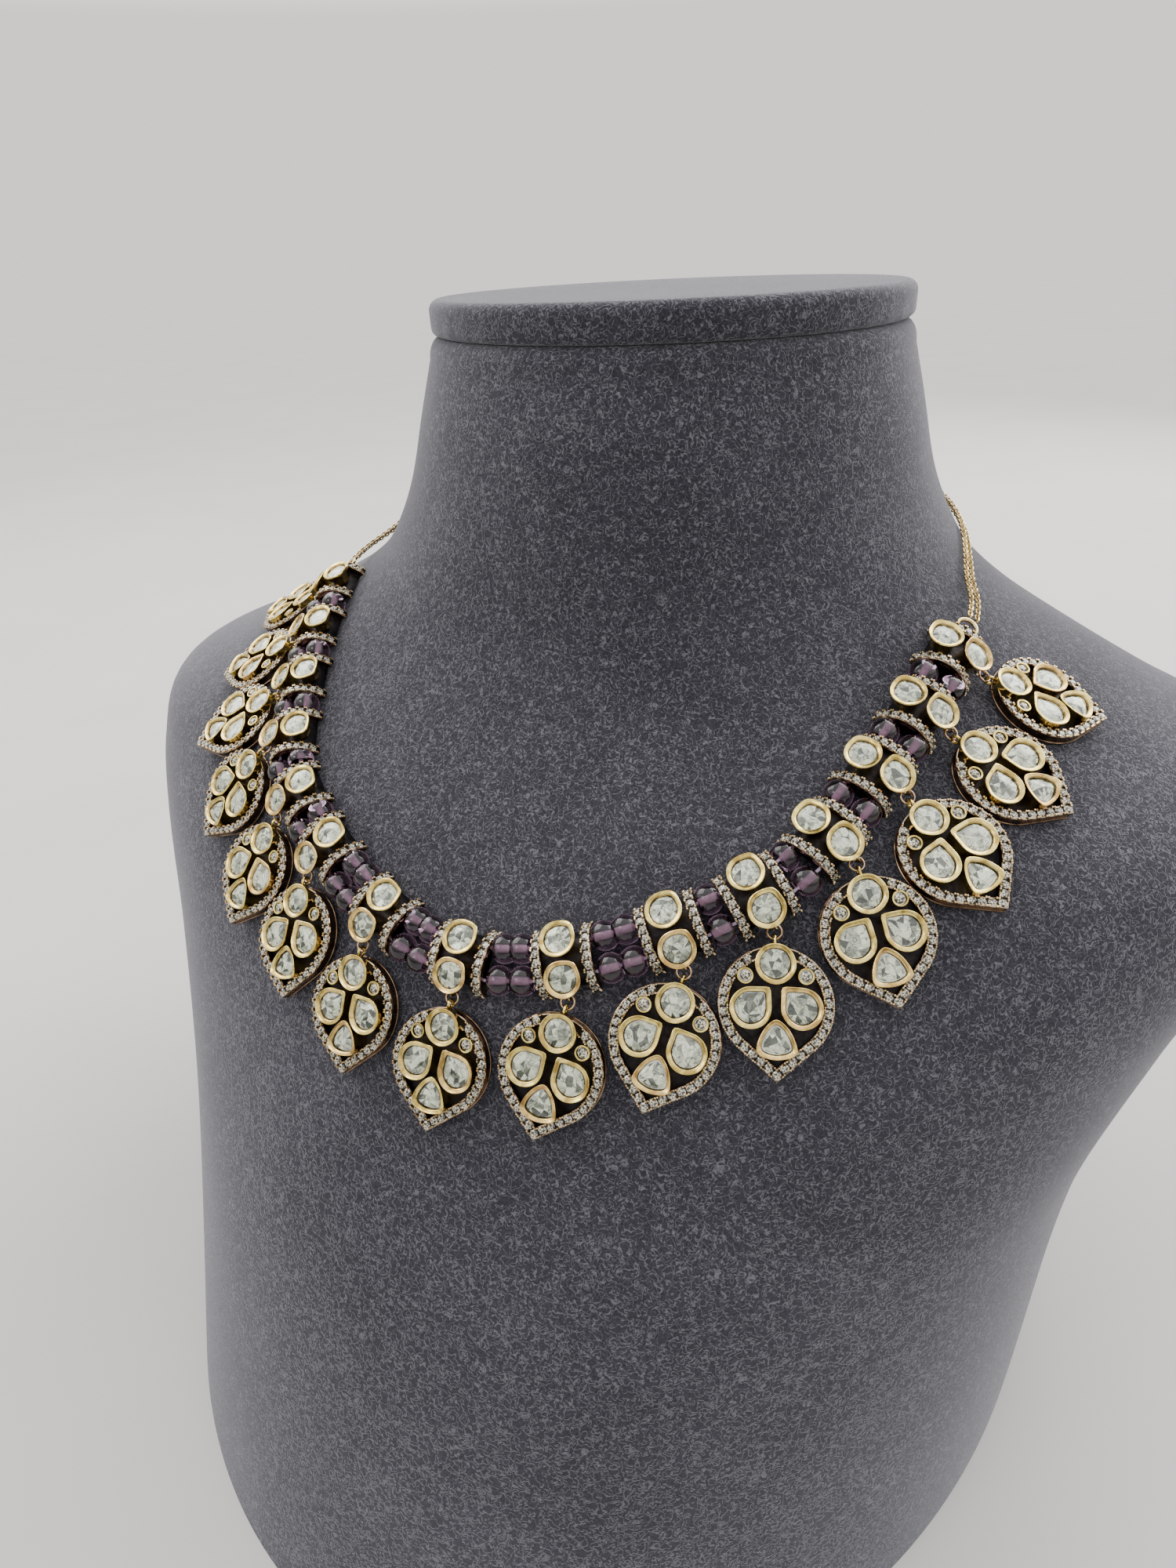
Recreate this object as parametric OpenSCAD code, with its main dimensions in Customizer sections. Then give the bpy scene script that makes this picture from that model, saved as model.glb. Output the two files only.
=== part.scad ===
// A kundan necklace lying on its suede neck bust.
// X runs across the shoulders, the chest faces -Y, Z points up and the origin is under the
// middle of the bust, on its base.

/* [Bust] */
// Height of the bust from its base to the underside of the cap
bust_h = 247; // [225:1:270]
// Width across the shoulders
shoulder_w = 316; // [290:1:340]
// Depth of the bust from the foot of the chest to the back
bust_d = 250; // [236:1:262]
// Diameter of the neck just under the cap
neck_d = 116; // [110:1:122]
// Diameter of the cap disc
cap_d = 116; // [112:1:124]
// Thickness of the cap disc
cap_t = 9.5; // [6:0.5:14]
// Radius of the cap's rounded edge
cap_edge = 3.6; // [2:0.2:4.6]
// Height of the front of the strand above the base
strand_z = 141.5; // [136:0.5:148]
// How much higher the strand lies beside the neck than in front
strand_rise = 61; // [54:0.5:66]
// Angle round the bust at which the strand has made half its rise
strand_half_angle = 34; // [31:0.5:38]

/* [Strand] */
// Width of a station along the strand
station_w = 12; // [11:0.1:13]
// Diameter of a glass bead
bead_d = 6; // [5:0.1:6.4]
// Length of a glass bead along its hole
bead_len = 4.2; // [3.6:0.1:4.8]
// Diameter of the hole through a bead
bead_bore_d = 1.1; // [0.9:0.05:1.4]
// Least slack beside a bead where the strand's bend brings two bars close
bead_play = 0.2; // [0.15:0.01:0.3]
// Slack beside each bead
string_gap = 0.4; // [0.3:0.05:0.8]
// Diameter of the beading thread
thread_d = 0.6; // [0.4:0.05:0.7]
// Distance between the two rows of beads
row_pitch = 6.3; // [6.1:0.05:6.6]

/* [Station] */
// Radius of the arched pave bars
bar_r = 7; // [6.6:0.1:7.4]
// Depth of the arch centre below the station's back
arch_drop = 1; // [0.6:0.1:1.4]
// Width of a pave bar
bar_w = 1.9; // [1.4:0.1:2.2]
// Step from a pave bar down to the core between the bars
core_step = 0.9; // [0.5:0.1:1.3]
// Radius of a station's stone bezel
stone_bezel_r = 3.7; // [3.3:0.05:3.85]
// Distance between the two stones of a station
stone_pitch = 7.9; // [7.5:0.1:8.4]
// Tilt of each station stone away from the middle
stone_tilt = 14; // [8:1:18]
// Height of the station bezels' rims above the back
bezel_top = 6.7; // [6.2:0.1:7.2]

/* [Pendant] */
// Radius of the round part of a pendant's outline
leaf_r = 10.6; // [10:0.1:10.8]
// Distance from the round stone's centre down to the centre of the round part
leaf_drop = 7.4; // [6.6:0.1:8]
// Distance from the round stone's centre down to the tip
leaf_tip = 21.3; // [19.8:0.1:22.5]
// Width of the pave rim
rim_w = 2; // [1.5:0.1:2.3]
// Height of the pave rim above the pendant's back
rim_h = 2.8; // [2.2:0.1:3.2]
// Thickness of the blackened back plate
plate_t = 1; // [0.6:0.1:1.4]
// Radius of the round stone's bezel
round_bezel_r = 3.8; // [3.5:0.05:4]
// Radius of the round end of a pear bezel
pear_bezel_r = 3.9; // [3.5:0.05:4]
// Width of the three-sided bezel
trillion_w = 7.6; // [6.8:0.1:8]
// Radius of the tiny bezels beside the round stone
tiny_bezel_r = 1.55; // [1.3:0.05:1.65]
// Height of the bezels' rims above the pendant's back
pendant_bezel_top = 4; // [3.6:0.1:4.6]

/* [Stones and findings] */
// Thickness of the bezel walls
bezel_wall = 0.8; // [0.6:0.05:1]
// Depth of the stone pockets
pocket = 1.3; // [1.1:0.05:1.6]
// Height of a stone
stone_t = 1.1; // [0.8:0.05:1.2]
// Clearance round each stone
stone_gap = 0.15; // [0.1:0.01:0.25]
// Wire of the small eyes
eye_wire = 0.5; // [0.4:0.05:0.6]
// Radius to the middle of an eye's wire
eye_r = 0.95; // [0.9:0.01:1]
// Wire of a jump ring
jump_wire = 0.4; // [0.35:0.05:0.45]
// Radius to the middle of a jump ring's wire
jump_r = 1.35; // [1.3:0.01:1.5]
// Wire of the gold end rings
end_wire = 0.9; // [0.7:0.05:1]
// Radius to the middle of an end ring's wire
end_r = 2.2; // [2:0.05:2.5]
// Diameter of a chain strand
chain_d = 1.5; // [1.2:0.05:1.8]
// Height of the chain behind the neck
chain_back_z = 207; // [200:0.5:215]
// Diameter of the clasp
clasp_d = 4; // [3.4:0.1:4.6]
// Length of the clasp
clasp_len = 12; // [9:0.5:15]

/* [Fit] */
// Gap between the bust and a station
station_seat = 0.8; // [0.75:0.05:1.1]
// Gap between the bust and a pendant
pendant_seat = 0.7; // [0.6:0.05:0.9]
// Gap between the bust and the beads and chains
bead_seat = 0.4; // [0.3:0.05:0.6]
// Gap between the two strands of a chain, and where a chain meets a ring or the clasp
chain_gap = 0.3; // [0.2:0.05:0.5]

/* [Hidden] */
$fn = 48;
RIGHT_END = 7;
STATIONS = [for (i = [-RIGHT_END:RIGHT_END]) i];
DOUBLE_GAPS = 2;
CENTRE_NUMBER = 8;
neck_r = neck_d / 2;
// The clasp stands out behind the bust, so the bust sits a little forward of the middle
back_y = (bust_d - clasp_d - bead_seat) / 2;
chest_y = back_y - bust_d;
neck_y = back_y - max(neck_r, cap_d / 2);
strand_end = 90;
strand_step = 0.5;
probe = 0.3;
body_sides = 64;
rings_per_section = 3;
tube_sides = 8;
thread_sides = 6;
gem_sides = 8;
table_share = 0.62;
girdle_share = 0.4;
overlap = 0.4;
nudge = 0.01;

// Sections of the bust from its base up, as shares of the height, of the widening from the
// neck to the shoulders, of the reach from the neck to the foot of the chest, and of the way
// the middle comes forward: [height, widening, reach, forward].
SECTIONS = [
    [0.000, 0.686, 1.000, 0.606],
    [0.283, 0.732, 0.790, 0.403],
    [0.445, 0.853, 0.628, 0.294],
    [0.534, 0.946, 0.525, 0.239],
    [0.591, 1.000, 0.431, 0.199],
    [0.640, 0.972, 0.343, 0.159],
    [0.688, 0.693, 0.242, 0.113],
    [0.729, 0.476, 0.163, 0.072],
    [0.761, 0.324, 0.124, 0.045],
    [0.794, 0.212, 0.103, 0.029],
    [0.826, 0.150, 0.089, 0.017],
    [0.874, 0.090, 0.068, 0.006],
    [0.939, 0.044, 0.035, 0.000],
    [1.000, 0.000, 0.000, 0.000],
];

// Way of a chain round the neck, as shares: [way round, rise, extra lift off the bust].
CHAIN_ROUTE = [
    [0.00, 0.00, 1.00],
    [0.05, 0.14, 0.75],
    [0.12, 0.36, 0.15],
    [0.25, 0.66, 0.00],
    [0.45, 0.90, 0.00],
    [0.70, 1.00, 0.00],
    [1.00, 1.00, 0.00],
];
chain_rings = 32;

// How far each jump ring and each pendant hang round towards the middle, in degrees, from the
// middle pendant out to the last: [ring, pendant].
HANG = [[0, 0], [26, 25], [30, 37.5], [30, 29], [40, 36], [34, 18], [20, 4], [-6, -17]];

TRILLION_CORNERS = [90, 210, 330];
TRILLION_SPAN = 60;

function unit(v) = v / norm(v);
function two_digits(n) = n < 10 ? str("0", n) : str(n);
function number(i) = two_digits(i + CENTRE_NUMBER);

// A smooth curve through the rows of a table, whose first column rises
function row_of(table, x, i = 0) =
    i >= len(table) - 2 || x < table[i + 1][0] ? i : row_of(table, x, i + 1);
function slope_at(table, c, k) =
    let (a = max(k - 1, 0), b = min(k + 1, len(table) - 1))
    (table[b][c] - table[a][c]) / (table[b][0] - table[a][0]);
function smooth(table, c, x) =
    let (
        i = row_of(table, x),
        w = table[i + 1][0] - table[i][0],
        u = max(0, min(1, (x - table[i][0]) / w))
    )
    (2 * u ^ 3 - 3 * u ^ 2 + 1) * table[i][c]
    + (u ^ 3 - 2 * u ^ 2 + u) * w * slope_at(table, c, i)
    + (3 * u ^ 2 - 2 * u ^ 3) * table[i + 1][c]
    + (u ^ 3 - u ^ 2) * w * slope_at(table, c, i + 1);

// The bust's skin: t is the angle round it from the chest, z the height
function half_w(z) = neck_r + (shoulder_w / 2 - neck_r) * smooth(SECTIONS, 1, z / bust_h);
function front_y(z) =
    let (throat_y = neck_y - neck_r)
    throat_y - (throat_y - chest_y) * smooth(SECTIONS, 2, z / bust_h);
function centre_y(z) =
    neck_y - (neck_y - (chest_y + back_y) / 2) * smooth(SECTIONS, 3, z / bust_h);
function skin(t, z) =
    let (c = centre_y(z), reach = cos(t) > 0 ? c - front_y(z) : back_y - c)
    [half_w(z) * sin(t), c - reach * cos(t), z];
function skin_n(t, z) =
    unit(cross(skin(t + probe, z) - skin(t - probe, z), skin(t, z + probe) - skin(t, z - probe)));
function angle_of(p) =
    let (c = centre_y(p.z), reach = p.y < c ? c - front_y(p.z) : back_y - c)
    atan2(p.x / half_w(p.z), (c - p.y) / reach);
// The skin's point nearest to p, with the normal there
function foot(p, tries = 3) =
    let (t = angle_of(p), s = skin(t, p.z), n = skin_n(t, p.z))
    tries == 0 ? [s, n] : foot(p - n * ((p - s) * n), tries - 1);

// The strand's line on the bust
function strand_h(t) = strand_z + strand_rise * t ^ 2 / (t ^ 2 + strand_half_angle ^ 2);
function strand(t) = skin(t, strand_h(t));
STRAND_POINTS = [for (t = [0:strand_step:strand_end]) strand(t)];
STRAND_LENGTHS = [
    for (i = 0, s = 0; i < len(STRAND_POINTS);
         s = s + (i + 1 < len(STRAND_POINTS) ? norm(STRAND_POINTS[i + 1] - STRAND_POINTS[i]) : 0),
         i = i + 1)
    [s, i * strand_step]
];
function strand_angle(s) = sign(s) * lookup(abs(s), STRAND_LENGTHS);

// Stations along the strand: two beads in a row beside the middle three, one beyond
single_pitch = station_w + bead_len + 2 * string_gap;
double_pitch = station_w + 2 * bead_len + 3 * string_gap;
function along(i) =
    sign(i) * (min(abs(i), DOUBLE_GAPS) * double_pitch
               + max(abs(i) - DOUBLE_GAPS, 0) * single_pitch);

// A frame is [origin, along the strand, up towards the neck, out of the bust]
function frame_on(o, e, n) = let (x = unit(e - n * (e * n))) [o, x, cross(n, x), n];
function strand_frame(t, lift) =
    let (n = skin_n(t, strand_h(t)))
    frame_on(strand(t) + lift * n, strand(t + probe) - strand(t - probe), n);
FRAMES = [for (i = STATIONS) strand_frame(strand_angle(along(i)), station_seat)];
function station_frame(i) = FRAMES[i + RIGHT_END];
function place(f, p) = f[0] + f[1] * p.x + f[2] * p.y + f[3] * p.z;

// Height of the bead holes above a station's back
thread_z = bead_d / 2 + bead_seat - station_seat;
core_r = bar_r - core_step;
stub_d = eye_wire * 1.6;
// Eye under a station, just inside the bars' edge, and the pendant's own eye
eye_inset = 0.25;
eye_stand = 0.55;
station_eye_z = 2.6;
pendant_eye_z = 1.9;
station_eye = [0, eye_inset - bar_r, station_eye_z];
pendant_eye = [0, round_bezel_r + eye_stand, pendant_eye_z];

// A pendant hangs its eye one jump ring below the station's, flat over the bust
function swung(f, a) = -f[2] * cos(a) - f[1] * sin(a);
function pendant_frame(i) =
    let (
        f = station_frame(i),
        s = place(f, station_eye),
        swing = HANG[abs(i)] * sign(i),
        leaf = swung(f, swing[1]),
        lie = foot(s + 2 * jump_r * swung(f, swing[0]) + (pendant_eye.y + leaf_drop) * leaf),
        flat = frame_on(lie[0] + pendant_seat * lie[1], cross(lie[1], leaf), lie[1]),
        gap = place(flat, pendant_eye + [0, leaf_drop, 0]) - s
    )
    [flat[0] + leaf_drop * flat[2] + gap * (2 * jump_r / norm(gap) - 1), flat[1], flat[2], flat[3]];
PENDANT_FRAMES = [for (i = STATIONS) pendant_frame(i)];

// End rings, chains and clasp
end_play = 0.15;
end_sink = 0.1;
end_eye_r = end_wire / 2 + eye_wire / 2 + end_play;
end_eye_x = station_w / 2 + end_eye_r + eye_wire / 2 - end_sink;
end_ring_x = end_eye_x + end_r;
chain_start = along(RIGHT_END) + end_ring_x + end_r + end_wire / 2 + chain_gap;
chain_t0 = strand_angle(chain_start);
clasp_angle = asin((clasp_len / 2 + chain_gap) / half_w(chain_back_z));
function chain_spot(u, side) =
    let (
        t = chain_t0 + (180 - clasp_angle - chain_t0) * u,
        z = strand_h(chain_t0) + (chain_back_z - strand_h(chain_t0)) * smooth(CHAIN_ROUTE, 1, u),
        rest = chain_d / 2 + bead_seat,
        lift = rest + (thread_z + station_seat - rest) * smooth(CHAIN_ROUTE, 2, u)
    )
    skin(side * t, z) + lift * skin_n(side * t, z);
function chain_normal(u, side) = foot(chain_spot(u, side))[1];

// Puts its children in a frame
module in_frame(f) {
    multmatrix([
        [f[1].x, f[2].x, f[3].x, f[0].x],
        [f[1].y, f[2].y, f[3].y, f[0].y],
        [f[1].z, f[2].z, f[3].z, f[0].z],
        [0, 0, 0, 1],
    ]) children();
}

// A closed skin over rings that each have the same number of points
module skin_over(rings) {
    n = len(rings[0]);
    sides = [
        for (i = [0:len(rings) - 2], j = [0:n - 1])
        let (k = (j + 1) % n)
        [i * n + j, (i + 1) * n + j, (i + 1) * n + k, i * n + k]
    ];
    start = [for (j = [0:n - 1]) j];
    end = [for (j = [n - 1:-1:0]) (len(rings) - 1) * n + j];
    polyhedron([for (r = rings, p = r) p], concat(sides, [start, end]), convexity = 6);
}

module torus(r, wire) rotate_extrude() translate([r, 0]) circle(d = wire);

// An eye whose hole runs along X
module eye_x(r) rotate([0, 90, 0]) torus(r, eye_wire);

// Bust

module bust_body() {
    levels = [
        for (i = [0:len(SECTIONS) - 2], k = [0:rings_per_section - 1])
        SECTIONS[i][0] + (SECTIONS[i + 1][0] - SECTIONS[i][0]) * k / rings_per_section
    ];
    rings = [
        for (h = concat(levels, [1]))
        [for (j = [0:body_sides - 1]) skin(360 * j / body_sides, h * bust_h)]
    ];
    color("dimgray") skin_over(rings);
}

module bust_cap() {
    rim = cap_d / 2 - cap_edge;
    color("gray")
        translate([0, neck_y, bust_h])
        rotate_extrude() {
            square([rim, cap_t]);
            square([cap_d / 2, cap_t - cap_edge]);
            translate([rim, cap_t - cap_edge]) circle(cap_edge);
        }
}

// Stone outlines

// A round outline with one soft corner, as hand-closed bezels have
module cushion(r, corner = 0.8) {
    circle(r);
    square(r * corner);
}

// A drop: a round end at the origin and a point at the given distance along +Y
module drop(r, point) {
    a = acos(r / point);
    circle(r);
    polygon([[0, 0], [r * sin(a), r * cos(a)], [0, point], [-r * sin(a), r * cos(a)]]);
}

// A three-sided outline with bowed sides, one corner up
module trillion(w) {
    intersection_for (a = TRILLION_CORNERS) translate(w / sqrt(3) * ray(a)) circle(w);
}

// A cut stone: a straight girdle, eight or more crown facets and a flat table
module cut_stone(outline) {
    girdle = stone_t * girdle_share;
    rings = [for (s = [[1, 0], [1, girdle], [table_share, stone_t]])
        [for (p = outline) [p.x * s[0], p.y * s[0], s[1]]]];
    skin_over(rings);
}
function ray(a) = [cos(a), sin(a)];
function round_points(r) = [for (j = [0:gem_sides - 1]) r * ray(360 * j / gem_sides)];
function drop_points(r, point) =
    let (a = acos(r / point), n = gem_sides - 2)
    concat([[0, point]], [for (j = [0:n]) r * ray(90 + a + (360 - 2 * a) * j / n)]);
function trillion_points(w) =
    [for (c = TRILLION_CORNERS, j = [0:2])
        w / sqrt(3) * ray(c) + w * ray(c + 180 + TRILLION_SPAN * (j / 3 - 0.5))];

// Station

module arch(r) {
    intersection() {
        translate([0, -arch_drop]) circle(r);
        translate([-r, 0]) square([2 * r, r]);
    }
}

module along_strand(l) rotate([90, 0, 90]) linear_extrude(l, center = true) children();

// Puts its children on the rim plane of the upper (+1) or lower (-1) bezel
module on_bezel(side)
    translate([0, side * stone_pitch / 2, bezel_top]) rotate([-side * stone_tilt, 0, 0]) children();

// The eye that holds an end ring, on the right (+1) or left (-1) of a station
module end_eye(side) {
    translate([side * end_eye_x, 0, thread_z]) rotate([90, 0, 0]) torus(end_eye_r, eye_wire);
    translate([side * (station_w / 2 - overlap), 0, thread_z])
        rotate([0, side * 90, 0]) cylinder(2 * overlap - end_sink, d = stub_d);
}

module station(i) {
    cup_h = 2.2;
    collar_h = 1.2;
    cup_taper = 0.9;
    foot_r = stone_bezel_r - cup_taper;
    core_edge = sqrt(core_r ^ 2 - (station_eye.z + arch_drop) ^ 2);
    eye_stub = overlap - station_eye.y - eye_r - core_edge;
    color("goldenrod")
        in_frame(station_frame(i))
        difference() {
            union() {
                along_strand(station_w - 2 * overlap) arch(core_r);
                for (s = [-1, 1])
                    translate([s * (station_w - bar_w) / 2, 0, 0]) along_strand(bar_w) arch(bar_r);
                for (s = [-1, 1])
                    on_bezel(s) {
                        translate([0, 0, -collar_h]) linear_extrude(collar_h) cushion(stone_bezel_r);
                        translate([0, 0, -cup_h]) cylinder(cup_h, foot_r, stone_bezel_r);
                        translate([0, 0, -2 * cup_h]) cylinder(cup_h + overlap, r = foot_r - overlap);
                    }
                translate(station_eye) eye_x(eye_r);
                translate(station_eye + [0, eye_r, 0])
                    rotate([-90, 0, 0]) cylinder(eye_stub, d = stub_d);
                if (abs(i) == RIGHT_END) end_eye(sign(i));
            }
            for (s = [-1, 1])
                translate([0, s * row_pitch / 2, thread_z])
                    rotate([0, 90, 0]) cylinder(2 * station_w, d = bead_bore_d, center = true);
            for (s = [-1, 1])
                on_bezel(s)
                    translate([0, 0, -pocket]) cylinder(2 * pocket, r = stone_bezel_r - bezel_wall);
        }
}

module station_stones() {
    color("honeydew")
        for (i = STATIONS, s = [-1, 1])
            in_frame(station_frame(i))
                on_bezel(s)
                translate([0, 0, stone_gap - pocket])
                cut_stone(round_points(stone_bezel_r - bezel_wall - stone_gap));
}

// Pendant

// The leaf-shaped outline, drawn in or out by a share of its size about its round centre
module leaf(share) {
    translate([0, -leaf_drop]) rotate(180) drop(leaf_r * share, (leaf_tip - leaf_drop) * share);
}

// Places of the stones on a pendant
pear_at = [0.44 * leaf_r, -1.08 * leaf_drop];
pear_point = 1.4 * pear_bezel_r;
pear_angle = 43;
trillion_at = [0, -0.655 * leaf_tip];
tiny_at = [0.52 * leaf_r, -0.3 * leaf_drop];
function pear_tip(inset) = pear_point * (1 - inset / pear_bezel_r);

module on_pear(side)
    translate([side * pear_at.x, pear_at.y, 0]) rotate(side * pear_angle) children();

module pendant(i) {
    cup_foot = 0.6;
    tiny_drop = 0.6;
    color("darkgoldenrod")
        in_frame(PENDANT_FRAMES[i + RIGHT_END])
        difference() {
            union() {
                linear_extrude(plate_t) leaf(1);
                linear_extrude(rim_h) difference() {
                    leaf(1);
                    leaf(1 - rim_w / leaf_r);
                }
                cylinder(pendant_bezel_top, round_bezel_r - cup_foot, round_bezel_r);
                for (s = [-1, 1])
                    on_pear(s) linear_extrude(pendant_bezel_top) drop(pear_bezel_r, pear_point);
                translate(trillion_at) linear_extrude(pendant_bezel_top) trillion(trillion_w);
                for (s = [-1, 1])
                    translate([s * tiny_at.x, tiny_at.y])
                        cylinder(pendant_bezel_top - tiny_drop, r = tiny_bezel_r);
                translate(pendant_eye) eye_x(eye_r);
                translate([0, pendant_eye.y - eye_r, pendant_eye.z])
                    rotate([90, 0, 0]) cylinder(2 * overlap + cup_foot, d = stub_d);
            }
            translate([0, 0, pendant_bezel_top - pocket]) {
                cylinder(2 * pocket, r = round_bezel_r - bezel_wall);
                for (s = [-1, 1])
                    on_pear(s) linear_extrude(2 * pocket)
                        drop(pear_bezel_r - bezel_wall, pear_tip(bezel_wall));
                translate(trillion_at) linear_extrude(2 * pocket) trillion(trillion_w - 2 * bezel_wall);
            }
        }
}

module pendant_stones() {
    inset = bezel_wall + stone_gap;
    color("honeydew")
        for (i = STATIONS)
            in_frame(PENDANT_FRAMES[i + RIGHT_END])
                translate([0, 0, pendant_bezel_top - pocket + stone_gap]) {
                    cut_stone(round_points(round_bezel_r - inset));
                    for (s = [-1, 1])
                        on_pear(s) cut_stone(drop_points(pear_bezel_r - inset, pear_tip(inset)));
                    translate(trillion_at) cut_stone(trillion_points(trillion_w - 2 * inset));
                }
}

// Findings

module jump_ring(i) {
    s = place(station_frame(i), station_eye);
    p = PENDANT_FRAMES[i + RIGHT_END];
    e = place(p, pendant_eye);
    up = unit(s - e);
    f = frame_on((s + e) / 2, cross(up, p[3]), unit(cross(cross(up, p[3]), up)));
    color("peru") in_frame(f) torus(jump_r, jump_wire);
}

module end_ring(side) {
    color("gold")
        in_frame(station_frame(side * RIGHT_END))
        translate([side * end_ring_x, 0, thread_z])
        torus(end_r, end_wire);
}

module chain(side, row) {
    rings = [
        for (k = [0:chain_rings - 1])
        let (
            u = k / (chain_rings - 1),
            n = chain_normal(u, side),
            d = unit(chain_spot(min(1, u + nudge), side) - chain_spot(max(0, u - nudge), side)),
            across = unit(cross(n, d)),
            o = chain_spot(u, side) + row * side * (chain_d + chain_gap) / 2 * across
        )
        [for (j = [0:tube_sides - 1])
            let (a = 360 * (j + 0.5) / tube_sides)
            o + chain_d / 2 * (cos(a) * cross(across, d) + sin(a) * -across)]
    ];
    color("gold") skin_over(rings);
}

module clasp() {
    half = clasp_len / 2 - clasp_d / 2;
    o = skin(180, chain_back_z) + (clasp_d / 2 + bead_seat) * skin_n(180, chain_back_z);
    color("gold") translate(o) {
        rotate([0, 90, 0]) cylinder(2 * half, d = clasp_d, center = true);
        for (s = [-1, 1]) translate([s * half, 0, 0]) sphere(d = clasp_d);
    }
}

// Threads and beads

function thread_spot(i, side, row) =
    place(station_frame(i), [side * station_w / 2, row * row_pitch / 2, thread_z]);

module thread(row) {
    tail = 0.8;
    rings = [
        for (i = STATIONS, s = [-1, 1])
        let (f = station_frame(i), last = abs(i) == RIGHT_END && s == sign(i))
        [for (j = [0:thread_sides - 1])
            let (a = 360 * j / thread_sides)
            thread_spot(i, s, row) + (last ? s * tail : 0) * f[1]
            + thread_d / 2 * (cos(a) * f[2] + sin(a) * f[3])]
    ];
    color("plum") skin_over(rings);
}

// A bead's end, and how fast a bar beside the row leans in over it
function bead_end_r(l) = sqrt(bead_d ^ 2 - l ^ 2) / 2;
function bar_lean(f, way) = norm(cross(f[1], way)) / (f[1] * way);

// A bead is as long as the bars beside it leave room for, and bead_len at most
function bead_room(gap, leans, r, count) = (gap - r * (leans[0] + leans[1])) / count;
function bead_l(gap, leans, r, count) =
    min(bead_len, bead_room(gap, leans, r, count) - bead_play * (count + 1) / count);

module bead(l) {
    rotate([0, 90, 0])
        difference() {
            intersection() {
                sphere(d = bead_d);
                cylinder(l, d = 2 * bead_d, center = true);
            }
            cylinder(2 * bead_len, d = bead_bore_d, center = true);
        }
}

module beads(row) {
    color("rebeccapurple")
        for (i = [-RIGHT_END:RIGHT_END - 1]) {
            a = thread_spot(i, 1, row);
            b = thread_spot(i + 1, -1, row);
            way = unit(b - a);
            n = station_frame(i)[3] + station_frame(i + 1)[3];
            leans = [bar_lean(station_frame(i), way), bar_lean(station_frame(i + 1), way)];
            count = i >= -DOUBLE_GAPS && i < DOUBLE_GAPS ? 2 : 1;
            r = bead_end_r(bead_l(norm(b - a), leans, bead_d / 2, count));
            l = bead_l(norm(b - a), leans, r, count);
            room = bead_room(norm(b - a), leans, r, count);
            pitch = (room * count + l) / (count + 1);
            middle = (a + b + r * (leans[0] - leans[1]) * way) / 2;
            f = frame_on(middle, way, unit(cross(cross(way, n), way)));
            for (k = [1:count])
                in_frame(f) translate([(k - (count + 1) / 2) * pitch, 0, 0]) bead(l);
        }
}

bust_body();
bust_cap();
for (i = STATIONS) {
    station(i);
    pendant(i);
    jump_ring(i);
}
end_ring(-1);  // end_ring_left
end_ring(1);  // end_ring_right
chain(-1, 1);  // chain_left_upper
chain(-1, -1);  // chain_left_lower
chain(1, 1);  // chain_right_upper
chain(1, -1);  // chain_right_lower
clasp();
thread(1);  // thread_upper
thread(-1);  // thread_lower
beads(1);  // beads_upper
beads(-1);  // beads_lower
station_stones();
pendant_stones();
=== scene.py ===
"""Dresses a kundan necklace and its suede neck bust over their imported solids.

Shapes are worked out in millimetres, in the solids' own frame, and become metres when their
mesh is made. X runs across the shoulders, the chest faces -Y and Z points up.
"""

import logging
import math
import random
from collections.abc import Sequence
from dataclasses import dataclass, field, replace
from enum import Enum

import bmesh
import bpy
from mathutils import Euler, Matrix, Vector


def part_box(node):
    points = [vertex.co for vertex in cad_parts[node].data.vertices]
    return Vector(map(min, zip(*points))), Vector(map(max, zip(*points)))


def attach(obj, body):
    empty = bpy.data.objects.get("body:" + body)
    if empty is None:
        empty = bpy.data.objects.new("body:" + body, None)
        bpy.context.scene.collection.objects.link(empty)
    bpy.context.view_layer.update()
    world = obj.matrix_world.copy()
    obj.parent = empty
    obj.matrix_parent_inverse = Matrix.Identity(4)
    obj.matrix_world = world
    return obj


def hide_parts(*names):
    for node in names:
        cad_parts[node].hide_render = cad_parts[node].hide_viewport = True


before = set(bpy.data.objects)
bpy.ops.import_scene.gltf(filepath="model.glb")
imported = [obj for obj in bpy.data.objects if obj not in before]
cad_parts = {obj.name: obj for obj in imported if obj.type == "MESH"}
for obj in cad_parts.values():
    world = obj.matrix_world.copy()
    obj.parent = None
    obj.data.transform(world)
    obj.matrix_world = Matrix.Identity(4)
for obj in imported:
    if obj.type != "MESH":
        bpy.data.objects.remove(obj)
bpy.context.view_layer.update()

MM = 0.001
LOG = logging.getLogger("kundan_necklace")
Outline = list[tuple[float, float]]
Pairs = tuple[tuple[float, float], ...]
Triple = tuple[float, float, float]
Colour = Triple
Mesh = bpy.types.Mesh
Node = bpy.types.Node
Socket = bpy.types.NodeSocket


class Finish(Enum):
    """The finishes that the pieces wear."""

    SUEDE = "suede"
    BEZEL = "bezel_gold"
    COPPER = "bezel_copper"
    FOIL = "foil_gold"
    WALL = "antique_wall"
    BLACK = "blackened_metal"
    PRONG = "prong_gold"
    EDGE = "edge_gold"
    SILVER = "silver_foil"
    BRILLIANT = "brilliant"
    KUNDAN = "kundan_stone"
    GLASS = "purple_glass"
    CORE = "lilac_core"
    THREAD = "lilac_thread"
    CHAIN = "chain_gold"
    RING = "ring_gold"


# Shared shape helpers


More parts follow.
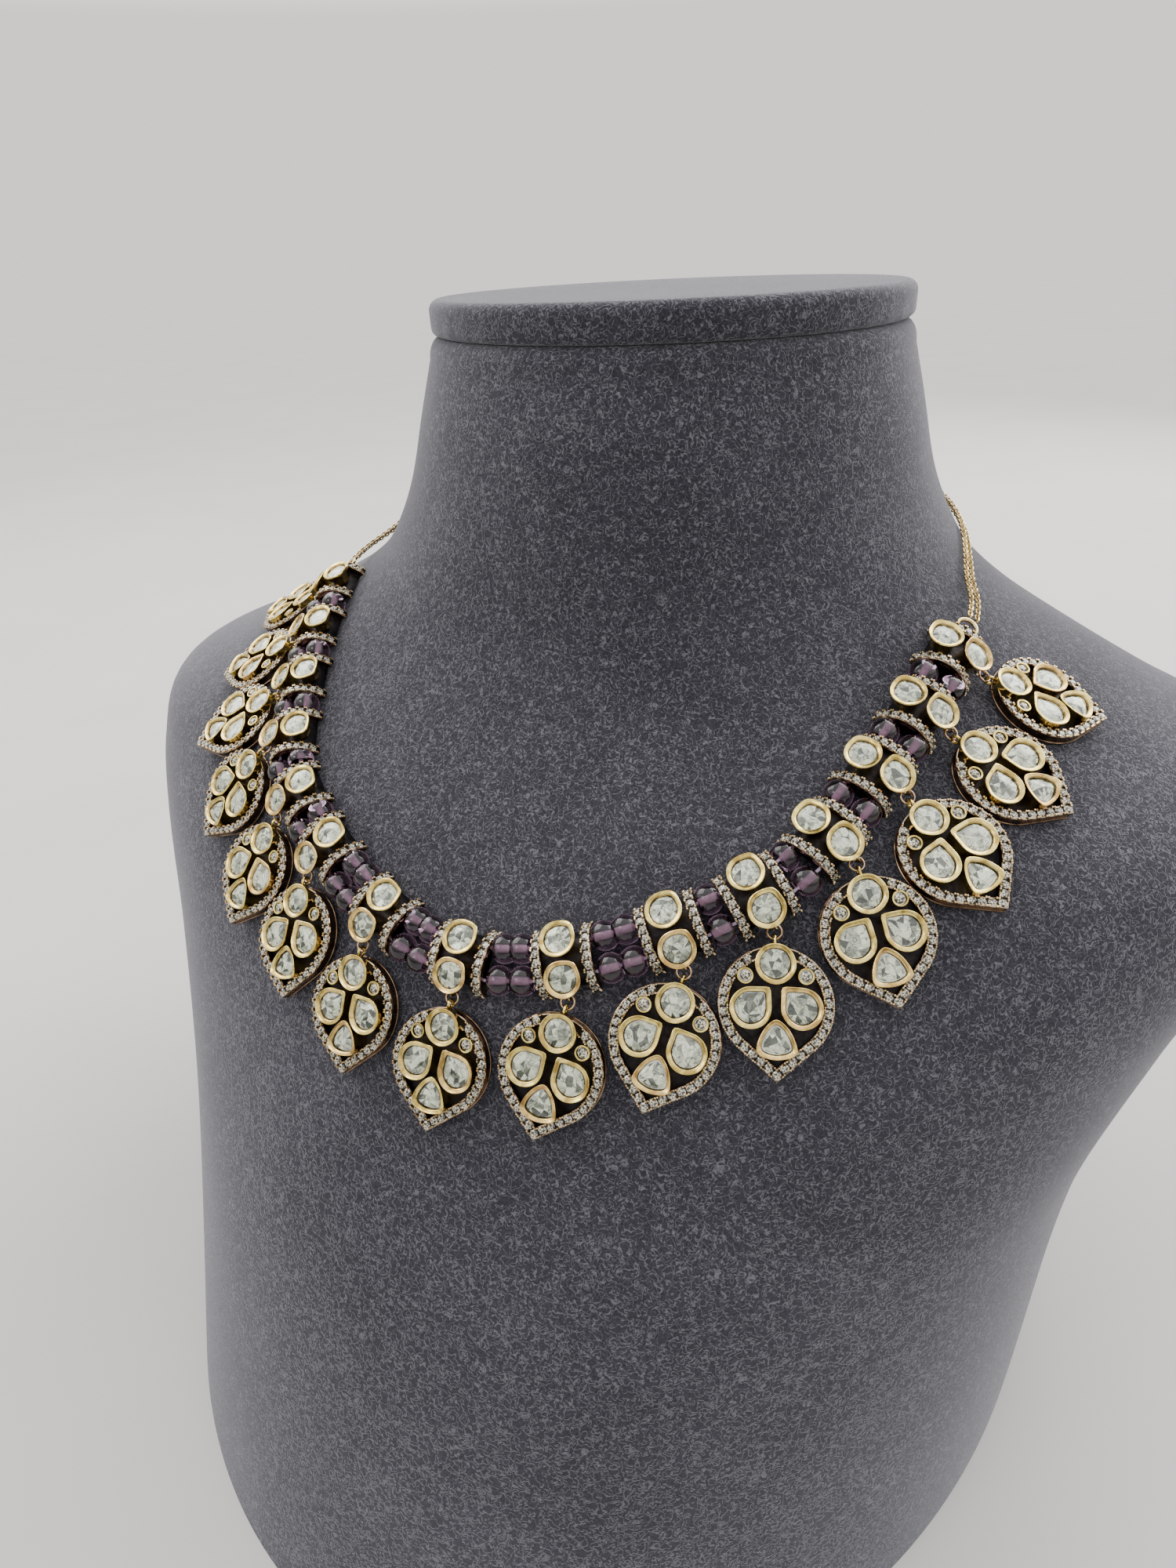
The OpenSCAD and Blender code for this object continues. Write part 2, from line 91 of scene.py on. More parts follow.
@dataclass(frozen=True)
class Spot:
    """A place with its own axes: along the strand, up to the neck and out of the bust."""

    origin: Vector
    along: Vector
    up: Vector
    out: Vector

    @classmethod
    def on(cls, origin: Vector, along: Vector, out: Vector) -> "Spot":
        """Makes a spot whose first axis is along, squared to out.

        Args:
            origin: Its place.
            along: The wanted first axis.
            out: The third axis, of length one.

        Returns:
            The spot.
        """
        x = (along - out * along.dot(out)).normalized()
        return cls(origin, x, out.cross(x), out)

    def at(self, x: float, y: float, z: float) -> Vector:
        """Returns a point given in the spot's axes."""
        return self.origin + x * self.along + y * self.up + z * self.out

    def matrix(self) -> Matrix:
        """Returns the matrix that puts a shape at the spot."""
        turn = Matrix((self.along, self.up, self.out)).transposed().to_4x4()
        return Matrix.Translation(self.origin) @ turn


class Shape:
    """Points and faces in millimetres, where each face has a finish and a shade of its own."""

    ring_sides = 28
    wire_sides = 10
    sharp_from = math.radians(35)

    def __init__(self) -> None:
        """Starts with no points."""
        self.points: list[Vector] = []
        self.faces: list[tuple[int, ...]] = []
        self.finishes: list[Finish] = []
        self.shades: list[float] = []
        self.rounded: list[bool] = []

    def face(
        self, corners: Sequence[int], finish: Finish, shade: float = 0.5, rounded: bool = False
    ) -> None:
        """Adds one face.

        Args:
            corners: Indices of its points.
            finish: Its finish.
            shade: A number from 0 to 1 that its material may read; the stones' materials turn it into a
                painted reflection.
            rounded: Whether it is shaded as part of a curved surface.
        """
        self.faces.append(tuple(corners))
        self.finishes.append(finish)
        self.shades.append(shade)
        self.rounded.append(rounded)

    def loft(
        self,
        rings: Sequence[Sequence[Vector]],
        bands: Finish | Sequence[Finish],
        looped: bool = False,
    ) -> None:
        """Joins rings of points, each of the same length, into a closed skin.

        Args:
            rings: The rings.
            bands: One finish for all, or one for each band between two rings.
            looped: Whether the last ring joins the first. Otherwise a face closes each end.
        """
        base, n = len(self.points), len(rings[0])
        for ring in rings:
            self.points.extend(Vector(p) for p in ring)
        steps = len(rings) if looped else len(rings) - 1
        finishes = [bands] * steps if isinstance(bands, Finish) else bands
        for i, finish in enumerate(finishes):
            low, high = base + i * n, base + (i + 1) % len(rings) * n
            for j in range(n):
                k = (j + 1) % n
                self.face((low + j, low + k, high + k, high + j), finish, rounded=True)
        if not looped:
            top = base + steps * n
            self.face([base + j for j in reversed(range(n))], finishes[0])
            self.face([top + j for j in range(n)], finishes[-1])

    def ball(self, centre: Vector, radius: float, finish: Finish, sides: int = 8) -> None:
        """Adds a small ball.

        Args:
            centre: Its centre.
            radius: Its radius.
            finish: Its finish.
            sides: Points round its middle.
        """
        rings = []
        for i in range(1, 5):
            a = math.pi * i / 5 - math.pi / 2
            rings.append(
                [
                    centre + radius * Vector((math.cos(a) * c, math.cos(a) * s, math.sin(a)))
                    for c, s in unit_circle(sides)
                ]
            )
        self.loft(rings, finish)

    def ring(self, place: Matrix, radius: float, wire: float, finish: Finish) -> None:
        """Adds a wire ring that lies in the first two axes of a place.

        Args:
            place: Where it lies.
            radius: Radius to the middle of its wire.
            wire: Diameter of the wire.
            finish: Its finish.
        """
        section = [(radius + wire / 2 * u, wire / 2 * v) for u, v in unit_circle(self.wire_sides)]
        rings = [
            [place @ Vector((r * c, r * s, z)) for r, z in section]
            for c, s in unit_circle(self.ring_sides)
        ]
        self.loft(rings, finish, looped=True)

    def take(self, other: "Shape", place: Matrix | None = None) -> None:
        """Adds a copy of another shape.

        Args:
            other: The shape.
            place: Where the copy goes, or None for where it is.
        """
        base = len(self.points)
        self.points.extend(place @ p if place else p.copy() for p in other.points)
        self.faces.extend(tuple(base + i for i in f) for f in other.faces)
        self.finishes.extend(other.finishes)
        self.shades.extend(other.shades)
        self.rounded.extend(other.rounded)

    @classmethod
    def of_mesh(cls, mesh: Mesh) -> "Shape":
        """Returns the shape of a mesh in millimetres, whose materials are finishes."""
        shape = cls()
        shape.points = [v.co.copy() for v in mesh.vertices]
        shades = mesh.attributes["shade"].data
        for p in mesh.polygons:
            finish = Finish(mesh.materials[p.material_index].name)
            shape.face(p.vertices, finish, shades[p.index].value, finish is Finish.PRONG)
        return shape

    def mesh(self, name: str, wardrobe: "Wardrobe", scale: float = MM) -> Mesh:
        """Makes the mesh.

        Args:
            name: The mesh's name.
            wardrobe: Where the finishes come from.
            scale: Size of a unit in the mesh.

        Returns:
            The mesh, with outward faces.
        """
        mesh = bpy.data.meshes.new(name)
        mesh.from_pydata([p * scale for p in self.points], [], self.faces)
        used = sorted(set(self.finishes), key=lambda f: f.value)
        for finish in used:
            mesh.materials.append(wardrobe[finish])
        mesh.polygons.foreach_set("material_index", [used.index(f) for f in self.finishes])
        mesh.polygons.foreach_set("use_smooth", self.rounded)
        shade = mesh.attributes.new("shade", "FLOAT", "FACE")
        shade.data.foreach_set("value", self.shades)
        work = bmesh.new()
        work.from_mesh(mesh)
        bmesh.ops.recalc_face_normals(work, faces=work.faces)
        work.to_mesh(mesh)
        work.free()
        mesh.set_sharp_from_angle(angle=self.sharp_from)
        return mesh

    def piece(self, name: str, wardrobe: "Wardrobe", slot: str, node: str) -> None:
        """Makes a finished piece that stands for a node.

        Args:
            name: The piece's name.
            wardrobe: Where the finishes come from.
            slot: The record's material slot; not used.
            node: The node.
        """
        finish_piece(place_object(name, self.mesh(name, wardrobe)), node)


def unit_circle(sides: int) -> list[tuple[float, float]]:
    """Returns points of a circle of radius one, anticlockwise from +X."""
    return [(math.cos(math.tau * i / sides), math.sin(math.tau * i / sides)) for i in range(sides)]


def quarter(steps: int) -> list[float]:
    """Returns the angles that cut a quarter turn in steps, without its start."""
    return [math.pi / 2 * i / steps for i in range(1, steps + 1)]


def number(i: int) -> str:
    """Returns the number of jewel i as the nodes' names have it, with 8 in the middle."""
    return f"{i + 8:02d}"


def place_object(name: str, mesh: Mesh) -> bpy.types.Object:
    """Links a mesh to the scene as an object at the origin."""
    piece = bpy.data.objects.new(name, mesh)
    bpy.context.scene.collection.objects.link(piece)
    return piece


def finish_piece(piece: bpy.types.Object, node: str) -> None:
    """Lets a piece ride on the frame in place of a node, and reports it.

    Args:
        piece: The piece.
        node: The node it stands for.
    """
    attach(piece, "root")
    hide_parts(node)
    LOG.info("%s: %d faces", piece.name, len(piece.data.polygons))


def smooth_row(rows: Sequence[Sequence[float]], column: int, x: float) -> float:
    """Reads a smooth curve through the rows of a table whose first column rises.

    Args:
        rows: The table.
        column: The column to read.
        x: The place along the first column.

    Returns:
        The curve's value.
    """

    def slope(k: int) -> float:
        """Returns the curve's slope at row k."""
        a, b = max(k - 1, 0), min(k + 1, len(rows) - 1)
        return (rows[b][column] - rows[a][column]) / (rows[b][0] - rows[a][0])

    i = 0
    while i < len(rows) - 2 and x >= rows[i + 1][0]:
        i += 1
    w = rows[i + 1][0] - rows[i][0]
    u = max(0.0, min(1.0, (x - rows[i][0]) / w))
    return (
        (2 * u**3 - 3 * u**2 + 1) * rows[i][column]
        + (u**3 - 2 * u**2 + u) * w * slope(i)
        + (3 * u**2 - 2 * u**3) * rows[i + 1][column]
        + (u**3 - u**2) * w * slope(i + 1)
    )


# Outlines of stones and bezels


def cushion_outline(r: float) -> Outline:
    """Returns a round outline of radius r with one soft corner, upper right."""
    sides, corner, bulge, width = 40, 45, 0.11, 21
    points = []
    for i in range(sides):
        a = 360 * i / sides
        away = (a - corner + 180) % 360 - 180
        reach = r * (1 + bulge * math.exp(-((away / width) ** 2)))
        points.append((reach * math.cos(math.radians(a)), reach * math.sin(math.radians(a))))
    return points


def softened(points: Outline, times: int) -> Outline:
    """Returns an outline with its corners rounded by averaging neighbours a few times."""
    for _ in range(times):
        threes = zip(points[-1:] + points[:-1], points, points[1:] + points[:1])
        points = [tuple((p + 2 * q + r) / 4 for p, q, r in zip(*three)) for three in threes]
    return points


def drop_outline(r: float, point: float, arc: int = 30, side: int = 5, times: int = 1) -> Outline:
    """Returns a drop: round about the origin, with its point along +Y.

    Args:
        r: Radius of the round end.
        point: Distance from the round end's centre to the point.
        arc: Steps round the round end.
        side: Steps along each straight side.
        times: How often the corners are averaged.

    Returns:
        The outline, anticlockwise from the point.
    """
    a = math.acos(r / point)
    start, stop = math.pi / 2 + a, 2.5 * math.pi - a
    points = [
        (r * math.cos(start + (stop - start) * i / arc), r * math.sin(start + (stop - start) * i / arc))
        for i in range(arc + 1)
    ]
    first, last = points[0], points[-1]
    rise = [(first[0] * i / side, point + (first[1] - point) * i / side) for i in range(side)]
    back = [(last[0] * i / side, point + (last[1] - point) * i / side) for i in range(side - 1, 0, -1)]
    return softened(rise + points + back, times)


def trillion_outline(w: float) -> Outline:
    """Returns a three-sided outline of width w with bowed sides, one corner up."""
    side, reach, points = 13, w / math.sqrt(3), []
    for corner in (90, 210, 330):
        c = math.radians(corner)
        for i in range(side):
            a = c + math.pi + math.radians(60) * (i / side - 0.5)
            points.append((reach * math.cos(c) + w * math.cos(a), reach * math.sin(c) + w * math.sin(a)))
    return softened(points, 2)


# The bust's form and the strand's line on it


@dataclass(frozen=True)
class BustForm:
    """The bust's skin, with its outer sizes read off the frame."""

    width: float
    height: float
    front: float
    back: float
    neck_r: float = 58.0
    cap_r: float = 58.0
    probe: float = 0.3
    # [height, widening, reach, forward], all shares
    sections: tuple[tuple[float, float, float, float], ...] = (
        (0.000, 0.686, 1.000, 0.606),
        (0.283, 0.732, 0.790, 0.403),
        (0.445, 0.853, 0.628, 0.294),
        (0.534, 0.946, 0.525, 0.239),
        (0.591, 1.000, 0.431, 0.199),
        (0.640, 0.972, 0.343, 0.159),
        (0.688, 0.693, 0.242, 0.113),
        (0.729, 0.476, 0.163, 0.072),
        (0.761, 0.324, 0.124, 0.045),
        (0.794, 0.212, 0.103, 0.029),
        (0.826, 0.150, 0.089, 0.017),
        (0.874, 0.090, 0.068, 0.006),
        (0.939, 0.044, 0.035, 0.000),
        (1.000, 0.000, 0.000, 0.000),
    )

    @classmethod
    def from_frame(cls) -> "BustForm":
        """Returns the form with the sizes of the frame's bust."""
        low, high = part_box("bust_body")
        return cls((high.x - low.x) / MM, high.z / MM, low.y / MM, high.y / MM)

    @property
    def neck_y(self) -> float:
        """The neck axis's place from front to back."""
        return self.back - max(self.neck_r, self.cap_r)

    def half_width(self, z: float) -> float:
        """Returns half the width at a height."""
        return self.neck_r + (self.width / 2 - self.neck_r) * smooth_row(self.sections, 1, z / self.height)

    def front_y(self, z: float) -> float:
        """Returns the front's place at a height."""
        throat = self.neck_y - self.neck_r
        return throat - (throat - self.front) * smooth_row(self.sections, 2, z / self.height)

    def centre_y(self, z: float) -> float:
        """Returns the widest place's distance to the front at a height."""
        middle = (self.front + self.back) / 2
        return self.neck_y - (self.neck_y - middle) * smooth_row(self.sections, 3, z / self.height)

    def skin(self, turn: float, z: float) -> Vector:
        """Returns the skin's point at an angle round from the chest, in degrees, and a height."""
        t, c = math.radians(turn), self.centre_y(z)
        reach = c - self.front_y(z) if math.cos(t) > 0 else self.back - c
        return Vector((self.half_width(z) * math.sin(t), c - reach * math.cos(t), z))

    def normal(self, turn: float, z: float) -> Vector:
        """Returns the skin's outward normal at an angle and a height."""
        round_it = self.skin(turn + self.probe, z) - self.skin(turn - self.probe, z)
        up_it = self.skin(turn, z + self.probe) - self.skin(turn, z - self.probe)
        return round_it.cross(up_it).normalized()

    def foot(self, p: Vector) -> tuple[Vector, Vector]:
        """Returns the skin's point nearest to p, with the normal there."""
        q = p.copy()
        for _ in range(4):
            c = self.centre_y(q.z)
            reach = c - self.front_y(q.z) if q.y < c else self.back - c
            turn = math.degrees(math.atan2(q.x / self.half_width(q.z), (c - q.y) / reach))
            s, n = self.skin(turn, q.z), self.normal(turn, q.z)
            q = q - n * (q - s).dot(n)
        return s, n


@dataclass
class StrandLine:
    """The line of the necklace on the bust, with the places of its jewels."""

    form: BustForm
    height: float = 141.5
    rise: float = 61.0
    turn: float = 34.0
    station_w: float = 12.0
    bead_len: float = 4.2
    bead_d: float = 6.0
    gap: float = 0.4
    row_pitch: float = 6.3
    station_seat: float = 0.8
    pendant_seat: float = 0.7
    bead_seat: float = 0.4
    bead_play: float = 0.2
    jump_r: float = 1.35
    leaf_drop: float = 7.4
    station_eye: Vector = field(default_factory=lambda: Vector((0, -6.75, 2.6)))
    pendant_eye: Vector = field(default_factory=lambda: Vector((0, 4.35, 1.9)))
    last: int = 7
    doubled: int = 2
    # How far each jump ring and pendant hang round towards the middle: [ring, pendant]
    hang: Pairs = (
        (0, 0),
        (26, 25),
        (30, 37.5),
        (30, 29),
        (40, 36),
        (34, 18),
        (20, 4),
        (-6, -17),
    )

    def __post_init__(self) -> None:
        """Measures the strand's line once."""
        step = 0.5
        self.lengths: list[tuple[float, float]] = [(0.0, 0.0)]
        before = self.point(0)
        for k in range(1, 181):
            here = self.point(k * step)
            self.lengths.append((self.lengths[-1][0] + (here - before).length, k * step))
            before = here
        self.stations = {i: self._station(i) for i in self.numbers}
        self.pendants = {i: self._pendant(i) for i in self.numbers}

    @property
    def numbers(self) -> range:
        """The jewels' places, from the wearer's right to left, with 0 in the middle."""
        return range(-self.last, self.last + 1)

    @property
    def thread_z(self) -> float:
        """Height of the bead holes above a station's back."""
        return self.bead_d / 2 + self.bead_seat - self.station_seat

    def level(self, turn: float) -> float:
        """Returns the strand's height at an angle round the bust."""
        return self.height + self.rise * turn**2 / (turn**2 + self.turn**2)

    def point(self, turn: float) -> Vector:
        """Returns the strand's point at an angle round the bust."""
        return self.form.skin(turn, self.level(turn))

    def angle(self, s: float) -> float:
        """Returns the angle at a length along the strand from its middle."""
        far = abs(s)
        for (s0, t0), (s1, t1) in zip(self.lengths, self.lengths[1:]):
            if far <= s1:
                return math.copysign(t0 + (t1 - t0) * (far - s0) / (s1 - s0), s)
        return math.copysign(self.lengths[-1][1], s)

    def along(self, i: int) -> float:
        """Returns the length along the strand from the middle to jewel i."""
        single = self.station_w + self.bead_len + 2 * self.gap
        double = self.station_w + 2 * self.bead_len + 3 * self.gap
        near = min(abs(i), self.doubled)
        return math.copysign(near * double + (abs(i) - near) * single, i)

    def _station(self, i: int) -> Spot:
        """Returns the place of station i."""
        t, p = self.angle(self.along(i)), self.form.probe
        n = self.form.normal(t, self.level(t))
        way = self.point(t + p) - self.point(t - p)
        return Spot.on(self.point(t) + self.station_seat * n, way, n)

    def _pendant(self, i: int) -> Spot:
        """Returns the place of pendant i, whose eye hangs one jump ring below the station's."""
        f = self.stations[i]
        eye = f.at(*self.station_eye)
        side = (i > 0) - (i < 0)
        ring, leaf = (
            -f.up * math.cos(math.radians(a * side)) - f.along * math.sin(math.radians(a * side))
            for a in self.hang[abs(i)]
        )
        reach = self.pendant_eye.y + self.leaf_drop
        s, n = self.form.foot(eye + 2 * self.jump_r * ring + reach * leaf)
        flat = Spot.on(s + self.pendant_seat * n, n.cross(leaf), n)
        gap = flat.at(0, reach, self.pendant_eye.z) - eye
        origin = flat.at(0, self.leaf_drop, 0) + gap * (2 * self.jump_r / gap.length - 1)
        return replace(flat, origin=origin)

    def bead_spots(self, row: int) -> list[tuple[Spot, float]]:
        """Returns the places and lengths of a row's beads, each along its hole.

        Args:
            row: 1 for the upper row, -1 for the lower.

        Returns:
            The places with the beads' lengths, from the wearer's right to left.
        """
        beads = []
        for i in range(-self.last, self.last):
            here, there = self.stations[i], self.stations[i + 1]
            a = here.at(self.station_w / 2, row * self.row_pitch / 2, self.thread_z)
            b = there.at(-self.station_w / 2, row * self.row_pitch / 2, self.thread_z)
            way = (b - a).normalized()
            out = here.out + there.out
            out = (out - way * out.dot(way)).normalized()
            lean = [s.along.cross(way).length / s.along.dot(way) for s in (here, there)]
            count = 2 if -self.doubled <= i < self.doubled else 1
            # Ends of a bead as wide as its middle, then of the bead that this lets in
            length = self.bead_d
            for end_r in (self.bead_d / 2, None):
                end_r = end_r or math.sqrt(self.bead_d**2 - length**2) / 2
                room = (b - a).length - end_r * sum(lean)
                length = min(self.bead_len, (room - self.bead_play * (count + 1)) / count)
            spot = Spot.on((a + b + end_r * (lean[0] - lean[1]) * way) / 2, way, out)
            pitch = (room + length) / (count + 1)
            for k in range(count):
                centre = spot.at((k - (count - 1) / 2) * pitch, 0, 0)
                beads.append((replace(spot, origin=centre), length))
        return beads


# Materials


class NodeMaker:
    """Short ways to add nodes to a tree."""

    def __init__(self, tree: bpy.types.NodeTree) -> None:
        """Takes the tree."""
        self.tree = tree

    def add(
        self, kind: str, inputs: dict[int | str, object] | None = None, **settings: object
    ) -> Node:
        """Adds a node.

        Args:
            kind: The node's type.
            inputs: Sockets or values for its inputs, by name or index.
            settings: The node's own settings.

        Returns:
            The node.
        """
        node = self.tree.nodes.new(kind)
        for key, value in settings.items():
            setattr(node, key, value)
        for key, value in (inputs or {}).items():
            self.feed(value, node.inputs[key])
        return node

    def feed(self, value: object, target: Socket) -> None:
        """Links a socket to a target, or sets the target to a value."""
        if isinstance(value, Socket):
            self.tree.links.new(value, target)
        else:
            target.default_value = value

    def calc(self, operation: str, *values: object) -> Socket:
        """Returns the result of a sum on one to three values."""
        return self.add("ShaderNodeMath", dict(enumerate(values)), operation=operation).outputs[0]

    def ramp(self, value: Socket, stops: Sequence[tuple[float, Colour]]) -> Socket:
        """Turns a value into a colour.

        Args:
            value: The value's socket.
            stops: Places and colours.

        Returns:
            The colour's socket.
        """
        node = self.add("ShaderNodeValToRGB", {"Fac": value})
        while len(node.color_ramp.elements) < len(stops):
            node.color_ramp.elements.new(0.5)
        for element, (place, colour) in zip(node.color_ramp.elements, stops):
            element.position = place
            element.color = (*colour, 1)
        return node.outputs["Color"]

    def spread(self, value: Socket, low: float, high: float, start: float = 0, stop: float = 1) -> Socket:
        """Maps a value from start..stop to low..high."""
        ends = {"From Min": start, "From Max": stop, "To Min": low, "To Max": high}
        return self.add("ShaderNodeMapRange", {"Value": value, **ends}).outputs["Result"]


class Look(NodeMaker):
    """A material under construction."""

    def __init__(self, name: str) -> None:
        """Starts a material with a Principled shader."""
        self.material = bpy.data.materials.new(name)
        self.material.use_nodes = True
        super().__init__(self.material.node_tree)
        self.shader = self.tree.nodes["Principled BSDF"]
        self.coords = self.add("ShaderNodeTexCoord").outputs["Object"]

    def noise(self, scale: float, detail: float, twist: float) -> Socket:
        """Adds a noise on the piece's own coordinates.

        Args:
            scale: Its scale in waves per metre.
            detail: Its detail.
            twist: Its distortion.

        Returns:
            The value's socket.
        """
        inputs = {"Vector": self.coords, "Scale": scale, "Detail": detail, "Distortion": twist}
        return self.add("ShaderNodeTexNoise", inputs).outputs[0]

    def worms(self, scale: float, width: float, twist: float) -> Socket:
        """Adds thin winding lines, 1 at their middle and 0 from their width on.

        Args:
            scale: Scale of the noise whose middle level they follow.
            width: Their half width on that noise.
            twist: Its distortion.

        Returns:
            The value's socket.
        """
        level = self.calc("SUBTRACT", self.noise(scale, 1.0, twist), 0.5)
        return self.spread(self.calc("ABSOLUTE", level), 1.0, 0.0, 0.0, width)

    def cells(self, scale: float) -> Socket:
        """Adds cells on the piece's own coordinates, each of its own shade."""
        cells = self.add("ShaderNodeTexVoronoi", {"Vector": self.coords, "Scale": scale})
        return self.add("ShaderNodeSeparateColor", {0: cells.outputs["Color"]}).outputs[0]

    def multiply(self, share: float, a: Socket, b: Socket) -> Socket:
        """Returns colour a, multiplied by colour b to a share."""
        inputs = {0: share, 6: a, 7: b}
        return self.add("ShaderNodeMix", inputs, data_type="RGBA", blend_type="MULTIPLY").outputs[2]

    def sum(self, a: Socket, b: Socket, weight: float) -> Socket:
        """Returns a plus weight times b."""
        return self.calc("MULTIPLY_ADD", b, weight, a)

    def bump(self, height: Socket, depth: float, strength: float) -> None:
        """Raises the surface by a height, with its depth in metres."""
        node = self.add("ShaderNodeBump", {"Strength": strength, "Distance": depth, "Height": height})
        self.feed(node.outputs["Normal"], self.shader.inputs["Normal"])

    def shade(self) -> Socket:
        """Returns the shade that each face of a shape carries."""
        return self.add("ShaderNodeAttribute", attribute_name="shade").outputs["Fac"]

    def colour(self, value: Socket) -> None:
        """Feeds the shader's base colour."""
        self.feed(value, self.shader.inputs["Base Color"])

    def set(self, **values: float | tuple[float, ...]) -> None:
        """Sets sockets of the shader, with _ for a blank in their names."""
        for name, value in values.items():
            self.shader.inputs[name.replace("_", " ")].default_value = value


@dataclass(frozen=True)
class SuedeFinish:
    """Short-napped suede with curled fibres, brushed a little this way and that."""

    deep: Colour = (0.019, 0.0185, 0.0240)
    face: Colour = (0.0390, 0.0380, 0.0475)
    light: Colour = (0.122, 0.119, 0.136)

    def material(self, name: str) -> bpy.types.Material:
        """Returns the material under a name."""
        n = Look(name)
        curls = n.worms(scale=800, width=0.055, twist=0.9)
        fuzz = n.noise(scale=2400, detail=2.0, twist=0.5)
        brushed = n.noise(scale=24, detail=3.0, twist=0.8)
        height = n.sum(n.spread(curls, 0.0, 0.6), fuzz, weight=0.8)
        tone = n.spread(n.sum(height, brushed, weight=0.35), 0.0, 1.0, start=0.35, stop=1.20)
        n.colour(n.ramp(tone, ((0.10, self.deep), (0.40, self.face), (1.0, self.light))))
        n.set(Roughness=0.95, Specular_IOR_Level=0.06)
        n.set(Sheen_Weight=0.42, Sheen_Roughness=0.40, Sheen_Tint=(0.80, 0.80, 0.87, 1))
        n.bump(height, depth=0.00015, strength=0.8)
        return n.material


@dataclass(frozen=True)
class MetalFinish:
    """A metal darkened in cloudy patches, whose face is lightly worn."""

    colour: Colour
    dark: Colour
    roughness: float
    patina: float
    grain: float = 420

    def material(self, name: str) -> bpy.types.Material:
        """Returns the material under a name."""
        n = Look(name)
        clouds = n.noise(self.grain, detail=4.0, twist=0.6)
        middle = tuple((a + b) / 2 for a, b in zip(self.colour, self.dark))
        worn = ((0.62 - self.patina, self.dark), (0.66 - self.patina / 2, middle), (0.72, self.colour))
        n.colour(n.ramp(clouds, worn))
        marks = n.noise(self.grain * 6, detail=3.0, twist=1.0)
        rough = n.spread(marks, self.roughness * 0.7, self.roughness * 1.5, start=0.3, stop=0.7)
        n.feed(rough, n.shader.inputs["Roughness"])
        n.set(Metallic=1.0)
        n.bump(n.sum(clouds, marks, weight=0.3), depth=0.00006, strength=0.6)
        return n.material


@dataclass(frozen=True)
class StoneFinish:
    """A foiled stone of uneven facets, each with a painted reflection, with crackled foil and dark streaks
    seen through it.
    """

    deep: Colour
    pale: Colour
    crackle: float
    streak: float
    cell: float = 1500

    def material(self, name: str) -> bpy.types.Material:
        """Returns the material under a name."""
        n = Look(name)
        middle = tuple(0.5 * a + 0.5 * b for a, b in zip(self.deep, self.pale))
        # Painted reflections: each face's shade picks a colour from deep to pale.
        facet = n.ramp(n.shade(), ((0.08, self.deep), (0.35, middle), (0.75, self.pale)))
        foils = ((0.0, (0.36, 0.38, 0.32)), (0.35, (0.88, 0.90, 0.84)), (1.0, (1, 1, 1)))
        foil = n.ramp(n.cells(self.cell), foils)
        streaks = ((0.0, (1, 1, 1)), (0.35, (0.7, 0.73, 0.7)), (0.9, (0.10, 0.11, 0.10)))
        lines = n.ramp(n.worms(scale=310, width=0.035, twist=2.4), streaks)
        n.colour(n.multiply(self.streak, n.multiply(self.crackle, facet, foil), lines))
        n.set(Roughness=0.05, IOR=1.65, Coat_Weight=0.6, Coat_Roughness=0.02, Metallic=0.12)
        n.bump(n.noise(scale=700, detail=1.0, twist=1.2), depth=0.00008, strength=0.5)
        return n.material


@dataclass(frozen=True)
class GlassFinish:
    """Clear tinted glass with faint clouds in it."""

    tint: Colour
    cloud: Colour

    def material(self, name: str) -> bpy.types.Material:
        """Returns the material under a name."""
        n = Look(name)
        clouds = n.noise(scale=240, detail=2.0, twist=0.8)
        n.colour(n.ramp(clouds, ((0.35, self.cloud), (0.65, self.tint))))
        n.set(Roughness=0.01, IOR=1.47, Transmission_Weight=1.0)
        return n.material


@dataclass(frozen=True)
class MattFinish:
    """A matt surface with a fine grain, for the threads, the drilled cores and the floor."""

    low: Colour
    high: Colour
    grain: float = 2400

    def material(self, name: str) -> bpy.types.Material:
        """Returns the material under a name."""
        n = Look(name)
        grain = n.noise(self.grain, detail=3.0, twist=0.5)
        n.colour(n.ramp(grain, ((0.3, self.low), (0.7, self.high))))
        n.set(Roughness=0.75, Sheen_Weight=0.1)
        n.bump(grain, depth=0.00004, strength=0.4)
        return n.material


